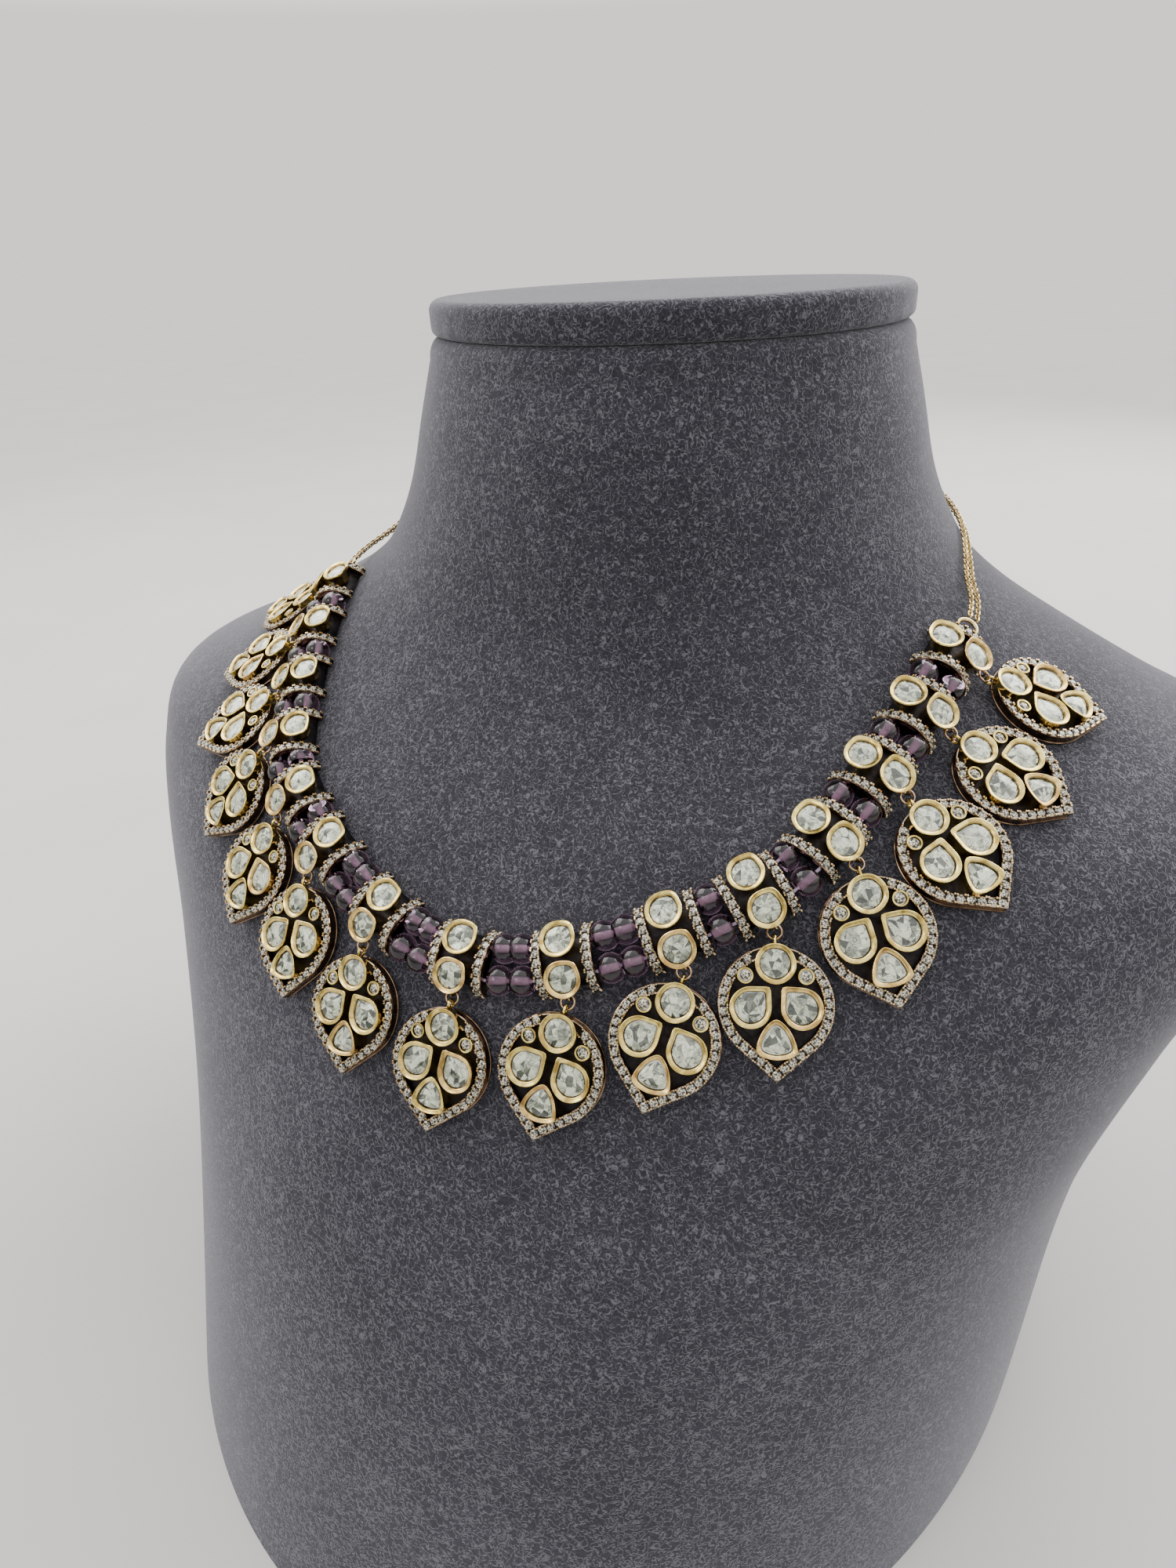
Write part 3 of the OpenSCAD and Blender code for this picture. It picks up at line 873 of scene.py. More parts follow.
class Wardrobe:
    """All the finishes of the object, each made once."""

    def __init__(self) -> None:
        """Chooses the finishes."""
        self.looks = {
            Finish.SUEDE: SuedeFinish(),
            Finish.BEZEL: MetalFinish((1.0, 0.82, 0.28), (0.43, 0.30, 0.08), 0.18, 0.24),
            # Coppery gold: its own tone on some pendant bezels, and painted shade on most of the stations'
            # lower bezels.
            Finish.COPPER: MetalFinish((0.98, 0.72, 0.27), (0.40, 0.25, 0.08), 0.18, 0.25),
            # A darker gold for the bezels' inner walls: painted shade in their recesses.
            Finish.FOIL: MetalFinish((0.76, 0.55, 0.22), (0.21, 0.125, 0.042), 0.16, 0.32),
            Finish.WALL: MetalFinish((0.30, 0.19, 0.11), (0.05, 0.03, 0.022), 0.16, 0.34),
            Finish.BLACK: MetalFinish((0.030, 0.026, 0.027), (0.008, 0.007, 0.008), 0.42, 0.30),
            Finish.PRONG: MetalFinish((0.88, 0.68, 0.42), (0.32, 0.22, 0.12), 0.16, 0.30),
            Finish.EDGE: MetalFinish((0.50, 0.38, 0.25), (0.15, 0.10, 0.06), 0.18, 0.32),
            Finish.SILVER: MetalFinish((0.80, 0.82, 0.78), (0.45, 0.47, 0.44), 0.16, 0.26),
            # For the stones, deep and pale are the dark and bright ends of the painted reflections on their
            # facets, over the stones' own colour.
            Finish.BRILLIANT: StoneFinish((0.03, 0.027, 0.020), (0.66, 0.61, 0.48), 0.3, 0.0),
            Finish.KUNDAN: StoneFinish((0.05, 0.060, 0.045), (0.64, 0.67, 0.54), 0.75, 0.9),
            Finish.GLASS: GlassFinish((0.32, 0.205, 0.29), (0.22, 0.135, 0.205)),
            Finish.CORE: MattFinish((0.48, 0.36, 0.42), (0.76, 0.63, 0.68), 1200),
            Finish.THREAD: MattFinish((0.50, 0.38, 0.56), (0.72, 0.60, 0.76)),
            Finish.CHAIN: MetalFinish((0.84, 0.68, 0.34), (0.40, 0.28, 0.11), 0.16, 0.26),
            Finish.RING: MetalFinish((0.66, 0.46, 0.28), (0.24, 0.14, 0.08), 0.20, 0.34),
        }
        self.made: dict[Finish, bpy.types.Material] = {}

    def __getitem__(self, finish: Finish) -> bpy.types.Material:
        """Returns a finish's material."""
        if finish not in self.made:
            self.made[finish] = self.looks[finish].material(finish.value)
        return self.made[finish]


# Geometry Nodes: rows of set stones and chains


class RowTree(NodeMaker):
    """A Geometry Nodes tree that copies small shapes along a line, with named inputs."""

    def __init__(self, name: str, inputs: dict[str, str]) -> None:
        """Starts a tree that takes a line of edges.

        Args:
            name: The tree's name.
            inputs: Each further input's name with its type.
        """
        super().__init__(bpy.data.node_groups.new(name, "GeometryNodeTree"))
        ends = self.tree.interface
        ends.new_socket("Geometry", in_out="INPUT", socket_type="NodeSocketGeometry")
        self.keys = {
            key: ends.new_socket(key, in_out="INPUT", socket_type=f"NodeSocket{kind}").identifier
            for key, kind in inputs.items()
        }
        ends.new_socket("Geometry", in_out="OUTPUT", socket_type="NodeSocketGeometry")
        self.given = self.add("NodeGroupInput").outputs
        self.result = self.add("NodeGroupOutput").inputs[0]

    def points(self, count: Socket) -> Node:
        """Returns the node that puts a count of points evenly on the line."""
        curve = self.add("GeometryNodeMeshToCurve", {0: self.given["Geometry"]})
        even = self.add("GeometryNodeResampleCurve", {"Curve": curve.outputs[0], "Count": count})
        return self.add("GeometryNodeCurveToPoints", {"Curve": even.outputs[0]}, mode="EVALUATED")

    def away(self, centre: Socket) -> Socket:
        """Returns the way from a centre to each point."""
        ends = {0: self.add("GeometryNodeInputPosition").outputs[0], 1: centre}
        return self.add("ShaderNodeVectorMath", ends, operation="SUBTRACT").outputs[0]

    def odd(self) -> Socket:
        """Returns 1 on every second point and 0 on the others."""
        return self.calc("MODULO", self.add("GeometryNodeInputIndex").outputs[0], 2.0)

    def turned(self, first: Socket, second: Socket, axes: str) -> Socket:
        """Returns the rotation that lays one axis along a way, and a second near another.

        Args:
            first: The way of the first axis.
            second: The way of the second axis.
            axes: The two axes' letters.

        Returns:
            The rotation's socket.
        """
        letters = {"primary_axis": axes[0], "secondary_axis": axes[1]}
        return self.add("FunctionNodeAxesToRotation", {0: first, 1: second}, **letters).outputs[0]

    def copies(
        self, source: Socket, finish: Socket, where: dict[str, Socket], spin: Socket | None = None
    ) -> Socket:
        """Puts copies of an object on points.

        Args:
            source: The object's input.
            finish: The material's input.
            where: The points, each copy's rotation, and which points get one.
            spin: Turn of each copy about its own axes, or None.

        Returns:
            The socket of the realized and dressed copies.
        """
        shown = self.add("GeometryNodeObjectInfo", {"Object": source, "As Instance": True})
        inputs = {**where, "Instance": shown.outputs["Geometry"]}
        copies = self.add("GeometryNodeInstanceOnPoints", inputs)
        if spin:
            inputs = {"Instances": copies.outputs[0], "Rotation": spin}
            copies = self.add("GeometryNodeRotateInstances", inputs)
        solid = self.add("GeometryNodeRealizeInstances", {0: copies.outputs[0]})
        dressed = {"Geometry": solid.outputs[0], "Material": finish}
        return self.add("GeometryNodeSetMaterial", dressed).outputs[0]

    def run(self, line: Sequence[Vector], values: dict[str, object]) -> Mesh:
        """Runs the tree on an open line and returns a plain mesh.

        Args:
            line: The line's points.
            values: A value for each named input.

        Returns:
            The mesh.
        """
        mesh = bpy.data.meshes.new("line")
        mesh.from_pydata(list(line), [(i, i + 1) for i in range(len(line) - 1)], [])
        carrier = place_object("line", mesh)
        modifier = carrier.modifiers.new("rows", "NODES")
        modifier.node_group = self.tree
        for key, value in values.items():
            modifier[self.keys[key]] = value
        bpy.context.view_layer.update()
        made = bpy.data.meshes.new_from_object(carrier.evaluated_get(bpy.context.evaluated_depsgraph_get()))
        carrier.modifiers.clear()
        bpy.data.objects.remove(carrier)
        return made


class PaveTree(RowTree):
    """Sets brilliants along a line with a pair of prong balls between each two."""

    seed = 11

    def __init__(self) -> None:
        """Builds the tree."""
        sizes = {"Stones": "Int", "Centre": "Vector", "Arched": "Float"}
        shapes = {"Stone": "Object", "Prongs": "Object"}
        finishes = {"Stone finish": "Material", "Prong finish": "Material"}
        super().__init__("pave_row", {**sizes, **shapes, **finishes})
        g = self.given
        points = self.points(self.calc("MULTIPLY_ADD", g["Stones"], 2.0, 1.0))
        facing = {0: g["Arched"], 4: (0.0, 0.0, 1.0), 5: self.away(g["Centre"])}
        outward = self.add("ShaderNodeMix", facing, data_type="VECTOR").outputs[1]
        turn = self.turned(outward, points.outputs["Tangent"], "ZX")
        turns = {"Min": 0.0, "Max": math.tau, "Seed": self.seed}
        spin = self.add("FunctionNodeRandomValue", turns, data_type="FLOAT").outputs[1]
        euler = self.add("ShaderNodeCombineXYZ", {2: spin}).outputs[0]
        odd, where = self.odd(), {"Points": points.outputs[0], "Rotation": turn}
        between = self.calc("SUBTRACT", 1.0, odd)
        stones = self.copies(g["Stone"], g["Stone finish"], {**where, "Selection": odd}, euler)
        prongs = self.copies(g["Prongs"], g["Prong finish"], {**where, "Selection": between})
        joined = self.add("GeometryNodeJoinGeometry")
        for row in (stones, prongs):
            self.feed(row, joined.inputs[0])
        self.feed(joined.outputs[0], self.result)


class ChainTree(RowTree):
    """Hooks oval links along a line, each turned a quarter from the last."""

    def __init__(self) -> None:
        """Builds the tree."""
        sizes = {"Links": "Int", "Axis": "Vector", "Lean": "Float"}
        super().__init__("link_chain", {**sizes, "Link": "Object", "Finish": "Material"})
        g = self.given
        points = self.points(g["Links"])
        level = {0: self.away(g["Axis"]), 1: (1.0, 1.0, 0.0)}
        flat = self.add("ShaderNodeVectorMath", level, operation="MULTIPLY").outputs[0]
        turn = self.turned(points.outputs["Tangent"], flat, "XZ")
        lean = self.calc("MULTIPLY_ADD", self.odd(), math.pi / 2, g["Lean"])
        euler = self.add("ShaderNodeCombineXYZ", {0: lean}).outputs[0]
        where = {"Points": points.outputs[0], "Rotation": turn}
        self.feed(self.copies(g["Link"], g["Finish"], where, euler), self.result)


# The bust


@dataclass
class Bust:
    """The suede bust with its flat cap."""

    form: BustForm
    wardrobe: Wardrobe
    around: int = 240
    levels: int = 150
    cap_edge: float = 2.6
    cap_lift: float = 1.7
    roll: float = 3.4
    puckers: int = 46
    pucker_depth: float = 0.35
    cap_sides: int = 368
    sunk: float = 0.05

    def build(self) -> None:
        """Builds the body and the cap."""
        self.build_body()
        self.build_cap()

    def build_body(self) -> None:
        """Builds the smooth body from its base to the cap."""
        form, shape = self.form, Shape()
        rings = []
        straight = form.height - self.roll
        for k in range(self.levels + 1):
            z = straight * k / self.levels
            rings.append([form.skin(360 * j / self.around, z) for j in range(self.around)])
        top = rings[-1]
        centre, rise = Vector((0, form.neck_y, 0)), self.roll + self.cap_lift - self.sunk
        for a in quarter(8):
            share = 1 - self.roll * (1 - math.cos(a)) / form.neck_r
            lift = Vector((0, 0, rise * math.sin(a)))
            level = (1 - share) * Vector((0, 0, 1))
            rings.append([centre + share * (p - centre) + p.z * level + lift for p in top])
        shape.loft(rings, Finish.SUEDE)
        shape.piece("suede_body", self.wardrobe, "suede", "bust_body")

    def build_cap(self) -> None:
        """Builds the cap disc, whose rounded edge is drawn in under it in faint puckers."""
        low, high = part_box("bust_cap")
        r, z0 = (high.x - low.x) / MM / 2, low.z / MM + self.cap_lift
        t = high.z / MM - z0
        e, centre = self.cap_edge, Vector((0, (low.y + high.y) / MM / 2, 0))
        profile = [(r * 0.3, 0.0, 0.0), (r * 0.8, 0.0, 0.0), (r - e, 0.0, 1.0)]
        profile += [
            (r - e * 0.7 * (1 - math.sin(a)), e * 0.7 * (1 - math.cos(a)), 1.0 - a / math.pi)
            for a in quarter(6)
        ]
        profile += [(r, t - e, 0.1)]
        profile += [
            (r - e * (1 - math.cos(a)), t - e * (1 - math.sin(a)), 0.0)
            for a in quarter(10)
        ]
        profile += [(r * 0.75, t, 0.0), (r * 0.4, t, 0.0), (r * 0.08, t, 0.0)]
        shape, rings = Shape(), []
        for radius, height, drawn in profile:
            ring = []
            for j, (c, s) in enumerate(unit_circle(self.cap_sides)):
                a = math.tau * j / self.cap_sides
                fold = 0.6 + 0.4 * math.sin(5 * a + 1.3) * math.sin(3 * a)
                dip = drawn * self.pucker_depth * fold * (0.5 + 0.5 * math.sin(self.puckers * a))
                ring.append(centre + Vector(((radius - dip) * c, (radius - dip) * s, z0 + height)))
            rings.append(ring)
        shape.loft(rings, Finish.SUEDE)
        shape.piece("suede_cap", self.wardrobe, "suede", "bust_cap")


# The jewels


@dataclass(frozen=True)
class Cut:
    """Sizes of the small cut stones and of the prong balls between them."""

    radius: float = 0.88
    table: float = 0.58
    crown: float = 0.27
    depth: float = 0.5
    prong_r: float = 0.29
    prong_reach: float = 0.80
    prong_apart: float = 0.22
    prong_lift: float = 0.12

    def stone(self) -> Shape:
        """Returns a brilliant with its girdle at the origin, whose facets and the star in its table carry
        painted reflections as shades.
        """
        shape, rng = Shape(), random.Random(5)
        girdle = [Vector((self.radius * c, self.radius * s, 0)) for c, s in unit_circle(8)]
        turn = Matrix.Rotation(math.pi / 8, 4, "Z")
        table = [turn @ Vector((p.x * self.table, p.y * self.table, self.crown)) for p in girdle]
        ends = [Vector((0, 0, -self.depth)), Vector((0, 0, self.crown * 0.94))]
        shape.points = girdle + table + ends
        for j in range(8):
            k = (j + 1) % 8
            for corners in ((j, k, 8 + j), (k, 8 + k, 8 + j), (k, j, 16), (8 + j, 8 + k, 17)):
                # Random shades, mostly dark, are painted reflections on the facets.
                shape.face(corners, Finish.BRILLIANT, rng.choice((0.0, 0.0, 0.2, 0.5, 1.0)), False)
        return shape

    def prongs(self) -> Shape:
        """Returns the four balls between two stones, two at each edge."""
        shape = Shape()
        for x in (-self.prong_apart, self.prong_apart):
            for y in (-self.prong_reach, self.prong_reach):
                reach = y * (1.0 if x < 0 else 0.94)
                shape.ball(Vector((x, reach, self.prong_lift)), self.prong_r, Finish.PRONG, 7)
        return shape


class Setter:
    """Sets rows of brilliants and makes bezels and kundan stones for all the jewels."""

    def __init__(self, wardrobe: Wardrobe) -> None:
        """Prepares the stone and the prongs that the rows repeat."""
        self.wardrobe = wardrobe
        self.tree = PaveTree()
        self.cut = Cut()
        self.stone = place_object("set_stone", self.cut.stone().mesh("set_stone", wardrobe, 1.0))
        self.prongs = place_object("set_prongs", self.cut.prongs().mesh("set_prongs", wardrobe, 1.0))

    def row(self, line: Sequence[Vector], stones: int, centre: Vector | None = None) -> Shape:
        """Returns a row of brilliants with prongs.

        Args:
            line: The row's line, in millimetres.
            stones: How many stones it holds.
            centre: The arch's centre that they face away from, or None where they face up.

        Returns:
            The row.
        """
        mesh = self.tree.run(
            line,
            {
                "Stones": stones,
                "Centre": tuple(centre) if centre else (0.0, 0.0, 0.0),
                "Arched": 1.0 if centre else 0.0,
                "Stone": self.stone,
                "Prongs": self.prongs,
                "Stone finish": self.wardrobe[Finish.BRILLIANT],
                "Prong finish": self.wardrobe[Finish.PRONG],
            },
        )
        return Shape.of_mesh(mesh)

    def put_away(self) -> None:
        """Removes the stone and the prongs that were only copied."""
        for helper in (self.stone, self.prongs):
            bpy.data.objects.remove(helper)

    @staticmethod
    def bezel(
        outline: Outline,
        r: float,
        profile: Sequence[tuple[float, float]],
        rng: random.Random,
        gold: Finish = Finish.BEZEL,
    ) -> Shape:
        """Returns a hand-closed bezel.

        Args:
            outline: Its outline, about the origin.
            r: The size that its insets are counted on.
            profile: Insets and heights from its foot, over the rim and down to the foil.
            rng: Gives the small unevenness of the hand.
            gold: Finish of its rim.

        Returns:
            The bezel.
        """
        phase, wobble = rng.random() * math.tau, 0.012
        rings = []
        for inset, height in profile:
            share = 1 - inset / r
            ring = []
            for j, (x, y) in enumerate(outline):
                a = math.tau * j / len(outline)
                uneven = 1 - wobble * (1 + math.sin(2 * a + phase) * math.cos(3 * a - phase))
                ring.append(Vector((x * share * uneven, y * share * uneven, height)))
            rings.append(ring)
        rim = max(range(len(profile)), key=lambda i: profile[i][1])
        # Below the rim the inner wall takes the darker gold: painted shade in the bezel's recess.
        bands = [gold if i < rim + 3 else Finish.FOIL for i in range(len(profile) - 2)]
        shape = Shape()
        shape.loft(rings, bands + [Finish.SILVER])
        return shape

    @staticmethod
    def kundan(outline: Outline, share: float, low: float, top: float, rng: random.Random) -> Shape:
        """Returns a flat stone with uneven facets, each with a random shade for a painted reflection.

        Args:
            outline: Outline of its bezel.
            share: Its size as a share of that outline.
            low: Height of its back.
            top: Height of its table.
            rng: Gives the facets their places and shades.

        Returns:
            The stone.
        """
        work = bmesh.new()
        step = max(1, len(outline) // 14)
        girdle = low + (top - low) * 0.55
        for x, y in outline[::step]:
            work.verts.new((x * share, y * share, low))
            work.verts.new((x * share, y * share, girdle))
        for count, reach, height in ((9, 0.76, 0.78), (6, 0.46, 0.95), (1, 0.15, 1.0)):
            start = rng.random() * math.tau
            for k in range(count):
                a = start + math.tau * (k + rng.uniform(-0.22, 0.22)) / count
                i = int(a % math.tau / math.tau * len(outline)) % len(outline)
                s = share * reach * rng.uniform(0.82, 1.12)
                x, y = outline[i]
                work.verts.new((x * s, y * s, low + (top - low) * height * rng.uniform(0.92, 1.0)))
        hull = bmesh.ops.convex_hull(work, input=work.verts)
        bmesh.ops.delete(work, geom=list(set(hull["geom_interior"] + hull["geom_unused"])), context="VERTS")
        bmesh.ops.dissolve_limit(work, angle_limit=0.03, verts=work.verts, edges=work.edges)
        work.verts.index_update()
        shape = Shape()
        shape.points = [v.co.copy() for v in work.verts]
        for f in work.faces:
            # Each facet's random shade is a painted reflection.
            shape.face([v.index for v in f.verts], Finish.KUNDAN, rng.random(), False)
        work.free()
        return shape


# Insets and heights of a bezel, from its rim down to its foil
RIM: Pairs = (
    (0.16, 0.0),
    (0.34, -0.04),
    (0.62, -0.15),
    (0.86, -0.26),
    (0.96, -0.40),
    (1.02, -0.80),
    (1.10, -1.18),
)


@dataclass
class StationJewel:
    """An arch with a pave bar on each side and two stone bezels between them."""

    strand: StrandLine
    setter: Setter
    bar_r: float = 7.0
    arch_drop: float = 1.0
    bar_w: float = 1.9
    core_r: float = 5.2
    stones: int = 9
    bezel_r: float = 3.7
    pitch: float = 7.9
    tilt: float = 14.0
    bezel_top: float = 6.7
    profile: Pairs = (
        (1.35, -3.6),
        (1.25, -2.6),
        (0.85, -1.9),
        (0.34, -1.0),
        (0.06, -0.40),
        (0.0, -0.22),
        (0.05, -0.08),
        *RIM,
    )

    def arch_ring(self, r: float, steps: int = 44) -> list[Vector]:
        """Returns the points of an arch of radius r, from low to high Y."""
        a0 = math.asin(self.arch_drop / r)
        return [
            Vector((0, -r * math.cos(a), r * math.sin(a) - self.arch_drop))
            for a in (a0 + (math.pi - 2 * a0) * i / steps for i in range(steps + 1))
        ]

    def swept_bar(self, section: Sequence[tuple[float, float]], bands: Sequence[Finish]) -> Shape:
        """Returns a bar that runs over the arch.

        Args:
            section: Places across the strand and radii, once round the bar.
            bands: Finish of each side of the section.

        Returns:
            The bar.
        """
        shape = Shape()
        arches = [[p + Vector((x, 0, 0)) for p in self.arch_ring(r)] for x, r in section]
        n, m = len(section), len(arches[0])
        shape.points = [arches[j][i] for i in range(m) for j in range(n)]
        for i in range(m - 1):
            for j in range(n):
                k = (j + 1) % n
                corners = (i * n + j, i * n + k, (i + 1) * n + k, (i + 1) * n + j)
                shape.face(corners, bands[j], 0.5, True)
        shape.face(range(n), Finish.WALL, 0.5, False)
        shape.face([(m - 1) * n + j for j in reversed(range(n))], Finish.WALL, 0.5, False)
        return shape

    def pave_bar(self) -> Shape:
        """Returns one bar about X zero, with its seat, stones and prongs."""
        h, r = self.bar_w / 2, self.bar_r
        section = [
            (-h, self.core_r),
            (-h, r - 1.55),
            (-h, r - 1.2),
            (-h, r - 0.55),
            (-h + 0.16, r - 0.38),
            (-h + 0.34, r - 0.42),
            (h - 0.34, r - 0.42),
            (h - 0.16, r - 0.38),
            (h, r - 0.55),
            (h, r - 1.2),
            (h, r - 1.55),
            (h, self.core_r),
        ]
        wall, edge, black = Finish.WALL, Finish.EDGE, Finish.BLACK
        bands = [wall, edge, wall, edge, edge, black, edge, edge, wall, edge, wall, wall]
        shape = self.swept_bar(section, bands)
        line = self.arch_ring(r - 0.36)[2:-2]
        shape.take(self.setter.row(line, self.stones, Vector((0, 0, -self.arch_drop))))
        return shape

    def core(self) -> Shape:
        """Returns the blackened core between the bars."""
        h = (self.strand.station_w - self.bar_w) / 2
        shape, ring = Shape(), self.arch_ring(self.core_r, 30)
        shape.loft([[p + Vector((x, 0, 0)) for p in ring] for x in (-h, h)], Finish.BLACK)
        return shape

    def on_bezel(self, side: int) -> Matrix:
        """Returns the place of the upper (1) or lower (-1) bezel's rim."""
        move = Matrix.Translation((0, side * self.pitch / 2, self.bezel_top))
        return move @ Matrix.Rotation(math.radians(-side * self.tilt), 4, "X")

    def eyes(self, i: int) -> Shape:
        """Returns the small eyes of station i."""
        shape = Shape()
        eye = self.strand.station_eye
        turn = Matrix.Rotation(math.pi / 2, 4, "Y")
        shape.ring(Matrix.Translation(eye) @ turn, 0.95, 0.5, Finish.EDGE)
        shape.ball(Vector((0, eye.y + 1.35, eye.z + 0.1)), 0.55, Finish.WALL)
        if abs(i) == self.strand.last:
            side = 1 if i > 0 else -1
            centre = Vector((side * 6.95, 0, self.strand.thread_z))
            turn = Matrix.Rotation(math.pi / 2, 4, "X")
            shape.ring(Matrix.Translation(centre) @ turn, 0.85, 0.5, Finish.EDGE)
        return shape

    def build(self) -> None:
        """Builds every station and all their kundan stones."""
        bar, core, stones = self.pave_bar(), self.core(), Shape()
        reach = (self.strand.station_w - self.bar_w) / 2
        outline = cushion_outline(self.bezel_r)
        for i in self.strand.numbers:
            rng, jewel = random.Random(100 + i), Shape()
            for side in (-1, 1):
                jewel.take(bar, Matrix.Translation((side * reach, 0, 0)))
                # Most lower bezels take the darker coppery gold: painted shade on the lower side.
                gold = Finish.COPPER if side < 0 and rng.random() < 0.6 else Finish.BEZEL
                bezel = self.setter.bezel(outline, self.bezel_r, self.profile, rng, gold)
                jewel.take(bezel, self.on_bezel(side))
                stone = self.setter.kundan(outline, 0.70, -1.12, -0.30, rng)
                stones.take(stone, self.strand.stations[i].matrix() @ self.on_bezel(side))
            jewel.take(core)
            jewel.take(self.eyes(i))
            whole, mark = Shape(), number(i)
            whole.take(jewel, self.strand.stations[i].matrix())
            whole.piece(f"arch_{mark}", self.setter.wardrobe, "antique_gold", f"station_{mark}")
        stones.piece("arch_stones", self.setter.wardrobe, "kundan_stone", "station_stones")


@dataclass
class PendantJewel:
    """A leaf-shaped pendant with a pave rim and six bezels."""

    strand: StrandLine
    setter: Setter
    leaf_r: float = 10.6
    leaf_drop: float = 7.4
    leaf_tip: float = 21.3
    rim_h: float = 2.8
    plate_t: float = 1.0
    top: float = 4.0
    stones: int = 29
    pear_at: tuple[float, float] = (4.66, -7.99)
    pear_turn: float = 43.0
    round_r: float = 3.8
    pear_r: float = 3.9
    pear_point: float = 5.46
    trillion_w: float = 7.6
    tiny_r: float = 1.55
    trillion_at: tuple[float, float] = (0.0, -13.95)
    tiny_at: tuple[float, float] = (5.51, -2.22)

    def __post_init__(self) -> None:
        """Works out the outlines that the pendants share."""
        self.round = [(self.round_r * c, self.round_r * s) for c, s in unit_circle(40)]
        self.pear = drop_outline(self.pear_r, self.pear_point)
        self.trillion = trillion_outline(self.trillion_w)
        self.tiny = [(self.tiny_r * c, self.tiny_r * s) for c, s in unit_circle(20)]
        leaf = drop_outline(self.leaf_r, self.leaf_tip - self.leaf_drop, 64, 12, 0)
        self.leaf = [(-x, -y) for x, y in leaf]

    def leaf_ring(self, inset: float, z: float) -> list[Vector]:
        """Returns the leaf's outline drawn in by an inset, at a height."""
        share = 1 - inset / self.leaf_r
        return [Vector((x * share, y * share - self.leaf_drop, z)) for x, y in self.leaf]

    def tray(self) -> Shape:
        """Returns the back plate with its rim and the rim's stones."""
        h = self.rim_h
        steps = [
            (0.12, 0.0, Finish.WALL),
            (0.0, 0.12, Finish.EDGE),
            (0.0, 0.42, Finish.EDGE),
            (0.12, 0.5, Finish.WALL),
            (0.12, h - 0.75, Finish.WALL),
            (0.02, h - 0.6, Finish.EDGE),
            (0.06, h - 0.42, Finish.EDGE),
            (0.26, h - 0.36, Finish.EDGE),
            (0.42, h - 0.44, Finish.BLACK),
            (1.62, h - 0.44, Finish.BLACK),
            (1.80, h - 0.38, Finish.EDGE),
            (1.96, h - 0.46, Finish.WALL),
            (2.0, h - 0.8, Finish.BLACK),
            (2.0, self.plate_t, Finish.BLACK),
            (6.0, self.plate_t, Finish.BLACK),
        ]
        shape = Shape()
        shape.loft([self.leaf_ring(a, z) for a, z, _ in steps], [f for _, _, f in steps[1:]])
        path = self.leaf_ring(1.02, h - 0.34)
        tip = min(range(len(path)), key=lambda k: path[k].y)
        half = len(path) // 2
        line = [path[(tip + half + k) % len(path)] for k in range(len(path) + 1)]
        line = [p for p in line if math.hypot(p.x, p.y) > 4.3]
        shape.take(self.setter.row(line, self.stones))
        return shape

    def cup(self, tall: float, foot: float) -> list[tuple[float, float]]:
        """Returns the profile of a bezel whose rim is tall and whose foot is drawn in."""
        low = [(foot, 0.5), (foot * 0.8, 1.3), (foot * 0.42, tall - 1.2)]
        high = ((0.06, -0.36), (0.0, -0.18), (0.05, -0.05), *RIM)
        return low + [(inset, tall + z) for inset, z in high]

    def settings(self) -> list[tuple[Outline, float, Matrix]]:
        """Returns outline, size and place of each of the four large bezels."""
        places = [(self.round, self.round_r, Matrix.Identity(4))]
        for side in (-1, 1):
            move = Matrix.Translation((side * self.pear_at[0], self.pear_at[1], 0))
            turn = Matrix.Rotation(math.radians(side * self.pear_turn), 4, "Z")
            places.append((self.pear, self.pear_r, move @ turn))
        low = Matrix.Translation((*self.trillion_at, 0))
        places.append((self.trillion, self.trillion_w / 2, low))
        return places

    def tiny_bezels(self, rng: random.Random) -> Shape:
        """Returns the two tiny bezels with their brilliants."""
        shape = Shape()
        tall = self.top - 0.6
        profile = [(0.2, 0.6), (0.06, tall - 0.3), (0.0, tall - 0.12), (0.06, tall - 0.02), (0.2, tall)]
        profile += [(0.36, tall - 0.06), (0.42, tall - 0.3), (0.46, tall - 0.7)]
        for side in (-1, 1):
            place = Matrix.Translation((side * self.tiny_at[0], self.tiny_at[1], 0))
            shape.take(self.setter.bezel(self.tiny, self.tiny_r, profile, rng), place)
            stone = self.setter.cut.stone()
            lift = Matrix.Translation((0, 0, tall - 0.24)) @ Matrix.Scale(1.12, 4)
            shape.take(stone, place @ lift @ Matrix.Rotation(rng.random() * 3, 4, "Z"))
        return shape

    def eye(self) -> Shape:
        """Returns the eye at the top with its small collar."""
        shape, eye = Shape(), self.strand.pendant_eye
        turn = Matrix.Rotation(math.pi / 2, 4, "Y")
        shape.ring(Matrix.Translation(eye) @ turn, 0.92, 0.62, Finish.BEZEL)
        shape.ball(Vector((0, eye.y - 1.1, eye.z)), 0.55, Finish.EDGE)
        return shape

